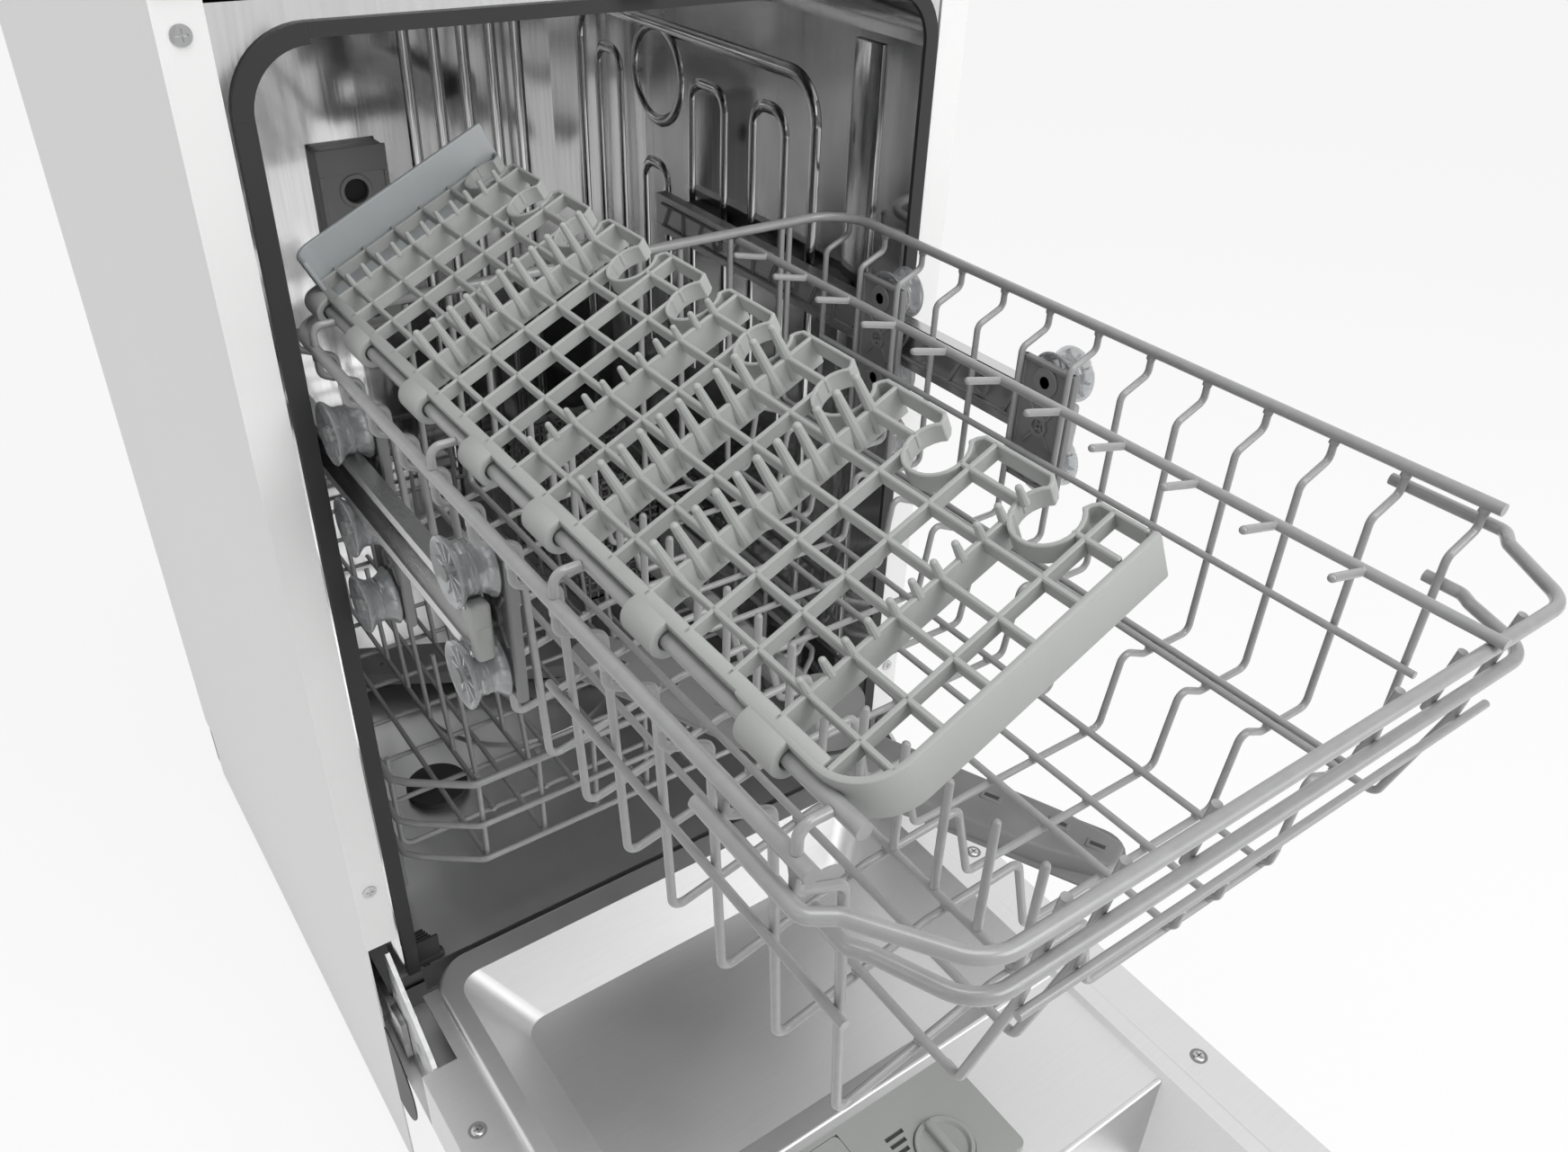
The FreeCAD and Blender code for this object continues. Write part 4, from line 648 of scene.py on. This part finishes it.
edge_moves = []
for y in LOOP_AT:
    edge_moves += [(EDGE_X, y - MOUTH_WIDE, DECK), (MOUTH_X, y - MOUTH_HALF, DECK),
                   (neck_x, y - NECK_HALF, DECK), ((LOOP_MIDDLE, y, DECK), loop_turn, 22),
                   (MOUTH_X, y + MOUTH_HALF, DECK), (EDGE_X, y + MOUTH_WIDE, DECK)]
edge = path((EDGE_X, 3, DECK), *edge_moves, (EDGE_X, RACK_LONG - 3, DECK))
ribbon(rack, edge, (0, 0, -EDGE_DEEP), 1.6, 0.4, steps=1)
print("rack with walls and loops:", len(rack.faces), "faces")

# %% Cup rack: spikes and nubs
SPIKE_FOOT, SPIKE_TIP, SPIKE_RADII = Vector((0, -1.2, -10.5)), Vector((0, 2.5, 12.6)), (2.7, 1.65)
NUB_FOOT, NUB_TIP, NUB_RADII = Vector((0, 0, -1.5)), Vector((0, 1.0, 5.0)), (1.8, 1.3)
PER_ROW = 11
for row in SPIKE_ROWS + NUB_ROWS:
    tall = row in SPIKE_ROWS
    thick, thin = SPIKE_RADII if tall else NUB_RADII
    foot, tip = (SPIKE_FOOT, SPIKE_TIP) if tall else (NUB_FOOT, NUB_TIP)
    for i in range(PER_ROW):
        on_bar = Vector((LONG_AT[0] + i * LONG_PITCH / 2, CROSS_AT[row], DECK))
        stick(rack, on_bar + foot, on_bar + tip, thick, thin)
        ball(rack, on_bar + tip, thin * 1.02)
bmesh.ops.transform(rack, matrix=RACK_PLACE, verts=rack.verts)
keep("cup_rack_moulding", rack, (RACK_GREY, WALL_GREY), "cup_rack", "grey_plastic", "cup_rack", sharp=35)

# %% [markdown]
# The basket runs on spools: rollers with a waist that fits the rail and two flanges that keep it there. Their
# outer faces are dished and stiffened by thin ribs, which show through the milky plastic. A lathe makes the
# spool, and the ribs are small blocks turned round the axle.

# %% Spool rollers
ROLLER_X = 180.0
FRONT_AXLE, REAR_AXLE = -427.75, -281.75
TOP_AXLE, LOW_AXLE, SPARE_AXLE = 630.9, 576.1, 527.1
ROLLER_PLACES = {
    "front_upper_wheels": (FRONT_AXLE, TOP_AXLE), "front_lower_wheels": (FRONT_AXLE, LOW_AXLE),
    "rear_upper_wheels": (REAR_AXLE, TOP_AXLE), "rear_lower_wheels": (REAR_AXLE, LOW_AXLE),
    "rear_spare_wheels": (REAR_AXLE, SPARE_AXLE),
}
SPOOL = [(9.0, 0), (9.0, 3.4), (8.2, 4.2), (6.0, 4.6), (5.4, 6.0), (5.9, 11.5), (7.6, 14.6), (8.6, 15.4),
         (8.8, 16.1), (8.2, 16.5), (7.2, 16.2), (4.6, 13.6), (3.0, 12.5), (1.2, 12.1), (0.6, 12.5),
         (-0.6, 12.5), (-1.2, 12.1), (-3.0, 12.4), (-5.4, 13.8), (-7.6, 16.2), (-8.4, 16.5), (-9.0, 16.0),
         (-8.4, 14.4), (-6.6, 12.0), (-6.0, 6.0), (-8.8, 4.6), (-9.0, 0)]
RIBS, RIB_NEAR, RIB_FAR, RIB_FOOT, RIB_TOP, RIB_HALF = 10, 5.2, 7.4, 4.2, 14.2, 0.55


def spool(shape, side, y, z):
    """One roller: its outer face looks away from the basket."""
    middle = side * ROLLER_X
    profile = [(middle + side * outward, y + radius, z) for outward, radius in SPOOL]
    turned(shape, profile, (middle, y, z), ALONG_X, 40)
    axle = Matrix.Translation((middle, y, z))
    inner, outer = across(side, RIB_NEAR, RIB_FAR)
    for i in range(RIBS):
        spoke = axle @ Matrix.Rotation(math.tau * i / RIBS, 4, "X")
        block(shape, (inner, RIB_FOOT, -RIB_HALF), (outer, RIB_TOP, RIB_HALF), place=spoke)


for node, (y, z) in ROLLER_PLACES.items():
    rollers = bmesh.new()
    for side in (-1, 1):
        spool(rollers, side, y, z)
    keep(node.replace("wheels", "rollers"), rollers, (ROLLER,), node, "light_grey_plastic", node)

# %% [markdown]
# Where wires cross they are spot welded, and the nylon coat gathers there in small beads. The free ends of
# the prongs and tines are rounded for the same reason. Flattened balls sunk into the wires give both.

# %% Basket beads and rounded wire ends
WIRES_AT = [-665.0 + 36.5 * i for i in range(13)]
PRONGS_AT = [-662.5 + 41 * i for i in range(11)]
TINES_AT = [-646 + 25 * i for i in range(16)]
RIM_X, RIM_Z, ROD_FRONT = 182.0, 663.4, -670.5
RODS = ((-120, 537.1), (-95, 542.8), (-76, 545.5), (26, 502.0), (55, 502.0), (92, 502.0), (132, 540.0),
        (138, 540.0))
ROD_TIPS = ((-76, 605.6), (26, 516.0), (55, 516.0), (92, 516.0), (138, 554.0))
TIP = 1.9
beads = bmesh.new()
for y in WIRES_AT:
    for x in (-RIM_X, RIM_X):
        ball(beads, (x, y, RIM_Z), 2.7, (1, 1.15, 1.1), fine=1)
    for x, z in RODS:
        ball(beads, (x, y, z), 2.35, (1.1, 1.1, 1), fine=1)
for y in PRONGS_AT:
    ball(beads, (74, y, 666.45), TIP)
    ball(beads, (96, y, 661.9), 2.3, fine=1)
for y in TINES_AT:
    ball(beads, (-76, y, 605.5), TIP)
for x, z in ROD_TIPS:
    ball(beads, (x, ROD_FRONT, z), TIP)
keep("upper_basket_beads", beads, (WIRE,), "upper_basket", "coated_wire")

# %% [markdown]
# The tub's walls are pressed with beads, so that the thin sheet doesn't drum. On the right wall a long arch
# frames a ring and four smaller arches. A bead is a half-sunk round bar that follows a path: a small disc is
# extruded along the straight runs and spun through the turns. The left wall gets the same beads, mirrored.

# %% Sweep tool and wall beads
def sweep(shape, start, heading, radius, *moves, axis=UP, sides=10):
    """A round bar that follows straight moves and turns, as path does."""
    part = bmesh.new()
    here = Vector(start)
    facing = Vector(heading).to_track_quat("Z", "Y").to_matrix().to_4x4()
    bmesh.ops.create_circle(part, cap_ends=True, segments=sides, radius=radius,
                            matrix=Matrix.Translation(here) @ facing)
    tip = part.faces[:][0]
    for move in moves:
        if is_point(move):
            made = bmesh.ops.extrude_face_region(part, geom=[tip])["geom"]
            pull(part, made, Vector(move) - here)
        else:
            centre, angle, steps = move
            made = bmesh.ops.spin(part, geom=[tip], cent=centre, axis=axis, angle=math.radians(angle),
                                  steps=steps)["geom_last"]
        tip = [item for item in made if isinstance(item, bmesh.types.BMFace)][0]
        here = tip.calc_center_median()
    add(shape, part)


WALL_X, BEAD_SINK, BEAD, WIDE_BEAD = 196.0, 3.0, 5.6, 6.4
ARCHES = ((-167, 172, 300, 738, 30, WIDE_BEAD), (103, 141, 470, 707, 14, BEAD), (-54, -8, 470, 707, 14, BEAD),
          (-132, -92, 470, 709, 16, BEAD), (29, 65, 470, 631, 14, BEAD))
RING_Y, RING_Z, RING_RADIUS = 42.5, 702.0, 36.0


def wall_beads(shape, side):
    """The arches, the ring and the front step pressed into one side wall."""
    x = side * (WALL_X + BEAD_SINK)
    for near, far, low, top, bend, radius in ARCHES:
        knee = top - bend
        sweep(shape, (x, near, low), UP, radius, (x, near, knee), ((x, near + bend, knee), -90, 8),
              (x, far - bend, top), ((x, far - bend, knee), -90, 8), (x, far, low), axis=ALONG_X)
    hoop = bmesh.new()
    on_top = Matrix.Translation((x, RING_Y, RING_Z + RING_RADIUS)) @ Matrix.Rotation(math.pi / 2, 4, "X")
    bmesh.ops.create_circle(hoop, segments=10, radius=BEAD, matrix=on_top)
    bmesh.ops.spin(hoop, geom=hoop.verts[:] + hoop.edges[:], cent=(x, RING_Y, RING_Z), axis=ALONG_X,
                   angle=math.tau, steps=40, use_merge=True)
    add(shape, hoop)
    inner, outer = across(side, WALL_X - 2.2, WALL_X + 0.4)
    block(shape, (inner, -234, 300), (outer, -205, 772), 2.0, steps=3)


beads = bmesh.new()
for side in (-1, 1):
    wall_beads(beads, side)
keep("tub_wall_beads", beads, (TUB_STEEL,), "cabinet", "steel_mirror", sharp=60)

# %% [markdown]
# The back wall is stiffened by upright flutes on both sides of the grey block. They are straight bars, half
# sunk in the wall like the beads, and a ball rounds each end.

# %% Back wall flutes
FLUTES_AT = (-158, -132, -106, -74, 62, 88, 114, 140, 164)
BACK_Y, FLUTE, FLUTE_SINK, FLUTE_LOW, FLUTE_TOP = 232.7, 6.2, 2.6, 262, 770
flute_y = BACK_Y + FLUTE_SINK
flutes = bmesh.new()
for x in FLUTES_AT:
    sweep(flutes, (x, flute_y, FLUTE_LOW), UP, FLUTE, (x, flute_y, FLUTE_TOP), sides=14)
    for z in (FLUTE_LOW, FLUTE_TOP):
        ball(flutes, (x, flute_y, z), FLUTE)
keep("tub_back_flutes", flutes, (TUB_STEEL,), "cabinet", "steel_mirror", sharp=60)

# %% [markdown]
# On the back wall a grey block feeds the spray arms. It has a raised frame and two ports with lips. The solid
# gives the block and the bores, so only the frame, the lips and a dark disc a little way into each bore are
# added. The dark discs are painted shade: they stand for the shadow deep in the bores.

# %% Dock frame and port lips
DOCK_FACE, DOCK_RELIEF = 220.7, 1.7
DOCK_BARS = (((-30, 605), (30, 627)), ((-30, 466), (30, 470)), ((-30, 470), (-26, 605)),
             ((26, 470), (30, 605)))
PORTS_AT = (590.0, 486.0)
LIP = ((-0.2, 14.5), (-1.3, 14), (-1.7, 12), (-1.2, 10.6), (0.4, 10.4))
THROAT_SHADE, THROAT_SHADE_DEEP = 10.8, 5.5
dock = bmesh.new()
for low, high in DOCK_BARS:
    block(dock, (low[0], DOCK_FACE - DOCK_RELIEF, low[1]), (high[0], DOCK_FACE + 0.5, high[1]), 0.9, steps=2)
for z in PORTS_AT:
    lip = [(0, DOCK_FACE + deep, z + radius) for deep, radius in LIP]
    turned(dock, lip, (0, DOCK_FACE, z), ALONG_Y)
    # A dark disc a little way into each bore is painted shade for the inside of the bore.
    throat_shade = [(0, DOCK_FACE + THROAT_SHADE_DEEP, z + radius) for radius in (0, THROAT_SHADE)]
    turned(dock, throat_shade, (0, DOCK_FACE, z), ALONG_Y, 24, finish=1)
keep("dock_frame", dock, (PALE_GREY, RUBBER), "cabinet", "grey_plastic")

# %% [markdown]
# Grey caps close the ends of the rails. They are soft, moulded blocks with well rounded edges, so they are
# blocks with a wide bevel.

# %% Rail caps
CAP_NEAR, CAP_FAR = 175.6, 184.4
for name, side in SIDES:
    cap = bmesh.new()
    inner, outer = across(side, CAP_NEAR, CAP_FAR)
    block(cap, (inner, -441.4, 588.6), (outer, -432.4, 618.4), 2.4, steps=4)
    block(cap, (inner + 1.6, -432.6, 591), (outer - 1.6, -424, 616), 0.6)
    block(cap, (inner + 1.5, -441.8, 600), (outer - 1.5, -441.2, 607), 0.25)
    keep(f"{name}_rail_end", cap, (PALE_GREY,), f"{name}_rail", "grey_plastic", f"{name}_rail_cap")

# %% [markdown]
# Black rubber combs in the lower corners of the opening keep the spray inside the tub, and a thin rubber
# strip joins them. The teeth stand one behind the other, so each is a block of its own. The steel floor of
# the tub runs out over the strip in a flat lip.

# %% Corner combs and floor lip
COMB_FAR, COMB_LOW, TEETH, TOOTH_PITCH, TOOTH = 195.6, 212.4, 4, 2.9, 1.3
STRIP_X, STRIP_Y, STRIP_Z, STRIP = 188, -264, 208.2, 2.0
FLOOR_EDGE, LIP_FRONT, SILL = -261.5, -269.0, 184.0
seal = bmesh.new()
for side in (-1, 1):
    for i in range(TEETH):
        y = -265.4 + TOOTH_PITCH * i
        inner, outer = across(side, 179.5 + 0.8 * i, COMB_FAR)
        block(seal, (inner, y, COMB_LOW), (outer, y + TOOTH, 235.5 - 0.5 * i), 0.4)
    inner, outer = across(side, 175.5, COMB_FAR)
    block(seal, (inner, -268.9, COMB_LOW), (outer, -266.2, 236), 0.9, steps=2)
    inner, outer = across(side, 172.5, COMB_FAR)
    block(seal, (inner, -269.2, 211.9), (outer, -261.6, 219), 2.4, steps=3)
    inner, outer = across(side, 192.2, 201)
    block(seal, (inner, -274, 215), (outer, -271.3, 242), 0.8, steps=2)
sweep(seal, (-STRIP_X, STRIP_Y, STRIP_Z), ALONG_X, STRIP, (STRIP_X, STRIP_Y, STRIP_Z))
keep("corner_combs", seal, (RUBBER,), "cabinet", "black_rubber", "lower_seals")
sill = bmesh.new()
block(sill, (-SILL, LIP_FRONT, 210.6), (SILL, FLOOR_EDGE + 12, 212.15))
keep("floor_lip", sill, (TUB_STEEL,), "cabinet", "steel_mirror")

# %% [markdown]
# The rollers turn on carriers that are clipped to the basket's wires. Each is a thin web stiffened by a rim,
# by ribs and by round bosses at the axles. A plain slab would throw the same shadow but look like cardboard,
# so the web, the rim and the ribs are separate blocks and the bosses come from the lathe.

# %% Roller carriers
CARRIER_NEAR, CARRIER_FAR, CARRIER_HALF, CARRIER_EAR = 165.5, 170.5, 21.1, 11
SHEET_NEAR, SHEET_FAR, SHEET_HALF = 167.2, 168.6, 20
POST, BEAM, BRACE_TURN, BRACE_HALF = 5.4, 3.2, 38, 17
AXLE, AXLE_END = 3.6, 189.8
COLUMNS = ((FRONT_AXLE, (TOP_AXLE, LOW_AXLE)), (REAR_AXLE, (TOP_AXLE, LOW_AXLE, SPARE_AXLE)))


def carrier(shape, side, y, rows):
    """One carrier with a web, a rim, ribs, bosses and axle stubs."""
    low, high = rows[-1] - CARRIER_EAR, rows[0] + CARRIER_EAR
    inner, outer = across(side, SHEET_NEAR, SHEET_FAR)
    block(shape, (inner, y - SHEET_HALF, low + 1), (outer, y + SHEET_HALF, high - 1), 0.4)
    inner, outer = across(side, CARRIER_NEAR, CARRIER_FAR)
    for post_y in (y - CARRIER_HALF, y + CARRIER_HALF - POST):
        block(shape, (inner, post_y, low), (outer, post_y + POST, high), 1.6, steps=2)
    for z in (low, high - BEAM):
        block(shape, (inner, y - SHEET_HALF, z), (outer, y + SHEET_HALF, z + BEAM), 1.2, steps=2)
    for upper, lower in zip(rows, rows[1:]):
        middle = (upper + lower) / 2
        for lean in (-BRACE_TURN, BRACE_TURN):
            place = Matrix.Translation((0, y, middle)) @ Matrix.Rotation(math.radians(lean), 4, "X")
            block(shape, (inner + 0.8, -1.1, -BRACE_HALF), (outer - 0.8, 1.1, BRACE_HALF), 0.4, place=place)
        eyelet(shape, inner, outer, y, middle, 4.4, 6.4)
    boss = ((inner, 0), (inner, 8.2), (inner + 0.6, 8.8), (outer - 0.6, 8.8), (outer, 8.2), (outer, 0))
    for z in rows:
        turned(shape, [(x, y + radius, z) for x, radius in boss], (inner, y, z), ALONG_X, 28)
        stick(shape, (side * CARRIER_NEAR, y, z), (side * AXLE_END, y, z), AXLE, sides=20)


carriers = bmesh.new()
for side in (-1, 1):
    for y, rows in COLUMNS:
        carrier(carriers, side, y, rows)
low, high = (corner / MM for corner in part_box("wheel_brackets"))
print("carrier solids reach", [round(v, 2) for v in (*low, *high)])
keep("roller_carriers", carriers, (MID_GREY,), "upper_basket", "light_grey_plastic", "wheel_brackets")

# %% [markdown]
# Inside each rail a moulded web guides the carriers. It has two long ridges, ribs, and round holes for the
# mounting screws. The ridges stay clear of the rollers' flanges, which hang over the rail's edges.

# %% Rail webs
WEB_FACE, WEB_THICK, WEB_LOW, WEB_HIGH, WEB_MIDDLE, RIDGE = 175.6, 1.5, 594.0, 613.4, 603.7, 2.2
WEB_START, WEB_END, WEB_PITCH, WEB_STEPS, WEB_LEAN = -424, 4, 24.5, 18, 28
for name, side in SIDES:
    web = bmesh.new()
    inner, outer = across(side, WEB_FACE - WEB_THICK, WEB_FACE)
    for z in (WEB_LOW, WEB_HIGH - RIDGE):
        block(web, (inner, WEB_START, z), (outer, WEB_END, z + RIDGE), 0.6, steps=2)
    for i in range(WEB_STEPS):
        y = WEB_START + 4 + WEB_PITCH * i
        if i % 4 == 2:
            eyelet(web, inner, outer, y, WEB_MIDDLE, 4.2, 6.4)
        else:
            lean = Matrix.Rotation(math.radians(WEB_LEAN if i % 2 else 0), 4, "X")
            place = Matrix.Translation((0, y, WEB_MIDDLE)) @ lean
            block(web, (inner, -1.2, -9.4), (outer, 1.2, 9.4), 0.4, place=place)
    keep(f"{name}_rail_web", web, (MID_GREY,), f"{name}_rail", "grey_plastic")

# %% [markdown]
# The upper spray arm is a hollow welded blade: a crowned top, a thin seam flange round the edge, and nozzles
# that are slots in small raised pads. A box is cut across with bisect_plane, then its loops are narrowed
# towards the tips and the edges are rounded. The lower arm lies under a basket and keeps its solid.

# %% Spray arm
CUTS, TIP_FROM, TIP_SQUEEZE, CROWN = 10, 0.98, 0.62, 0.80
NOZZLES_AT = (0.36, 0.58, 0.8, 0.93)


def blade(shape, place, reach, root, tip, low, high):
    """A tapering hollow arm, drawn along X about its hub."""
    part = bmesh.new()
    bmesh.ops.create_cube(part, size=1.0)
    bmesh.ops.scale(part, vec=(2 * reach, 2 * root, high - low), verts=part.verts)
    bmesh.ops.translate(part, vec=(0, 0, (low + high) / 2), verts=part.verts)
    for i in range(1, CUTS):
        bmesh.ops.bisect_plane(part, geom=part.verts[:] + part.edges[:] + part.faces[:],
                               plane_co=(-reach + 2 * reach * i / CUTS, 0, 0), plane_no=ALONG_X)
    for vert in part.verts:
        share = abs(vert.co.x) / reach
        narrow = 1 - (1 - tip / root) * min(1.0, share * 1.1)
        if share > TIP_FROM:
            narrow *= TIP_SQUEEZE
        vert.co.y *= narrow
        if vert.co.z > (low + high) / 2:
            vert.co.y *= CROWN
    soften(part, 2.4, 3, 40)
    add(shape, part, 0, place)
    seam = bmesh.new()
    bmesh.ops.create_cube(seam, size=1.0)
    bmesh.ops.scale(seam, vec=(2 * reach + 4, 2 * tip + 5, 1.6), verts=seam.verts)
    bmesh.ops.translate(seam, vec=(0, 0, low + 2.2), verts=seam.verts)
    corners = [edge for edge in seam.edges if abs(edge.verts[0].co.z - edge.verts[1].co.z) > 1]
    bmesh.ops.bevel(seam, geom=corners, offset=tip * 0.8, segments=6, profile=0.5, affect="EDGES",
                    material=-1)
    add(shape, seam, 0, place)
    for side in (-1, 1):
        for share in NOZZLES_AT:
            x = side * share * reach
            y = side * (0.25 if share < 0.9 else 0.0) * tip
            block(shape, (x - 6, y - 3.6, high - 1), (x + 6, y + 3.6, high + 0.7), 0.7, place=place)
            block(shape, (x - 4, y - 1.3, high + 0.1), (x + 4, y + 1.3, high + 0.78), finish=1, place=place)


def hub_ring(shape, place, radius, low, high, teeth=36):
    """The knurled nut that holds an arm."""
    profile = [(0, 0, low), (radius, 0, low), (radius, 0, high - 1.5), (radius - 1.5, 0, high), (0, 0, high)]
    turned(shape, profile, (0, 0, 0), UP, 36, place=place)
    for i in range(teeth):
        tooth = place @ Matrix.Rotation(math.tau * i / teeth, 4, "Z")
        block(shape, (radius - 0.4, -0.7, low + 1), (radius + 0.8, 0.7, high - 2.5), place=tooth)


HUB_Y, ARM_TURN = -455.3, 25 + 90
upper_arm = bmesh.new()
at_hub = Matrix.Translation((0, HUB_Y, 0)) @ Matrix.Rotation(math.radians(ARM_TURN), 4, "Z")
blade(upper_arm, at_hub, 168, 25, 19, 457.6, 468.6)
hub_ring(upper_arm, at_hub, 21, 456.4, 472.6)
keep("upper_spray_blade", upper_arm, (MID_GREY, DARK), "upper_spray_arm", "grey_plastic", "upper_spray_arm")

# %% [markdown]
# The cutlery basket is a moulded crate of fine bars with a stout rim. It could be a solid crate with holes
# cut in it. Its walls, its dividers and its floor are grids of thin blocks here, because each bar then keeps
# its square edges.

# %% Cutlery basket
low, high = (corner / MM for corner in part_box("cutlery_basket"))
crate = bmesh.new()
THIN, CRATE_PITCH, FLOOR_BARS, RIM_THICK, RIM_DEEP = 1.6, 8.5, 10, 3, 5


def grid_wall(shape, axis, place, span, heights):
    """Upright and level bars in one plane. The axis is the one that the wall faces."""
    count = max(2, round((span[1] - span[0]) / CRATE_PITCH))
    for i in range(count + 1):
        at = span[0] + (span[1] - span[0] - THIN) * i / count
        corner = (place, at) if axis == "x" else (at, place)
        block(shape, (*corner, heights[0]), (corner[0] + THIN, corner[1] + THIN, heights[1]))
    rows = round((heights[1] - heights[0]) / CRATE_PITCH)
    for i in range(rows + 1):
        z = heights[0] + (heights[1] - heights[0] - THIN) * i / rows
        if axis == "x":
            block(shape, (place, span[0], z), (place + THIN, span[1], z + THIN))
        else:
            block(shape, (span[0], place, z), (span[1], place + THIN, z + THIN))


for x in (low.x, (low.x + high.x) / 2, high.x - THIN):
    grid_wall(crate, "x", x, (low.y, high.y), (low.z, high.z))
for y in (low.y, (low.y + high.y) / 2, high.y - THIN):
    grid_wall(crate, "y", y, (low.x, high.x), (low.z, high.z))
for i in range(FLOOR_BARS):
    y = low.y + (high.y - low.y - THIN) * i / (FLOOR_BARS - 1)
    block(crate, (low.x, y, low.z), (high.x, y + THIN, low.z + THIN))
for x in (low.x, high.x - RIM_THICK):
    block(crate, (x, low.y, high.z - RIM_DEEP), (x + RIM_THICK, high.y, high.z), 0.8)
for y in (low.y, high.y - RIM_THICK):
    block(crate, (low.x, y, high.z - RIM_DEEP), (high.x, y + RIM_THICK, high.z), 0.8)
keep("cutlery_crate", crate, (MID_GREY,), "lower_basket", "grey_plastic", "cutlery_basket")

# %% [markdown]
# The dispenser sits in a ledge with rolled edges. Its rinse-aid knob has a raised rim and a grip across it,
# beside it are three dark slots, and pan-head screws hold the door's inner sheet. Such small turned parts
# come from the lathe, the rolled edges are swept bars, and the grip and the slots are blocks. The slots'
# dark is painted shade: they are dark blocks on the ledge, not openings. Each screw head sits on a darker
# ring, which is a painted shadow of its recess, and dark bars on the head paint the shade of its cross.

# %% Door details
LEDGE_Z, BAND_Z = 208.0, 207.0
ROLL, ROLL_SINK, ROLL_END, ROLLS_AT = 2.35, 1.6, 171, (-616.4, -516.6)
rolls = bmesh.new()
for y in ROLLS_AT:
    roll_z = LEDGE_Z - ROLL_SINK
    sweep(rolls, (-ROLL_END, y, roll_z), ALONG_X, ROLL, (ROLL_END, y, roll_z), sides=16)
keep("ledge_rolls", rolls, (LINER_STEEL,), "door", "steel", sharp=60)

# The three slots are dark blocks laid on the ledge. Their dark is painted shade for the openings.
SLOT_ENDS, SLOT_PITCH = (8, 6, 4), 5.5
slot_shades = bmesh.new()
for i, end in enumerate(SLOT_ENDS):
    y = -551 - SLOT_PITCH * i
    block(slot_shades, (-5.9, y + 0.1, 208.4), (end - 0.1, y + 2.9, 209.7), 0.3)
keep("dispenser_slot_shades", slot_shades, (DARK,), "door", "dark_plastic")

KNOB_X, KNOB_Y = 23.0, -572.0
KNOB_RIM = ((0, 204.1), (18.9, 204.1), (18.9, 212.4), (18.2, 213.0), (16.4, 213.0), (15.6, 212.2),
            (14.6, 210.8), (0, 210.6))
knob = bmesh.new()
turned(knob, [(KNOB_X + radius, KNOB_Y, z) for radius, z in KNOB_RIM], (KNOB_X, KNOB_Y, 0), UP, 40)
block(knob, (KNOB_X - 3, KNOB_Y - 17, 209.5), (KNOB_X + 3, KNOB_Y + 17, 215.9), 1.5, steps=3)
keep("rinse_knob", knob, (PALE_GREY,), "rinse_dial", "light_grey_plastic", "rinse_dial")

SCREWS_X, SCREWS_Y = (-208, 208), (-399.5, -619.5, -865.5)
HEAD = ((0, 1.15), (2.4, 1.1), (3.6, 0.8), (4.2, 0.1))
# The darker ring under each head is a painted shadow of the recess that the screw sits in.
SHADOW_RING = ((4.0, 0.06), (4.6, 0.4), (5.6, 0.3), (5.9, 0.05))
# Dark bars on each head paint the shade in its cross recess.
CROSS_SHADE_BARS = ((2.6, 0.55), (0.55, 2.6))
screws = bmesh.new()
for x in SCREWS_X:
    for y in SCREWS_Y:
        for finish, outline in enumerate((HEAD, SHADOW_RING)):
            profile = [(x + radius, y, BAND_Z + z) for radius, z in outline]
            turned(screws, profile, (x, y, 0), UP, 24, finish=finish)
        for half_x, half_y in CROSS_SHADE_BARS:
            block(screws, (x - half_x, y - half_y, BAND_Z + 0.5), (x + half_x, y + half_y, BAND_Z + 1.2),
                  finish=1)
keep("door_screw_heads", screws, (ZINC, MID_GREY), "door", "zinc_steel", "door_screws")
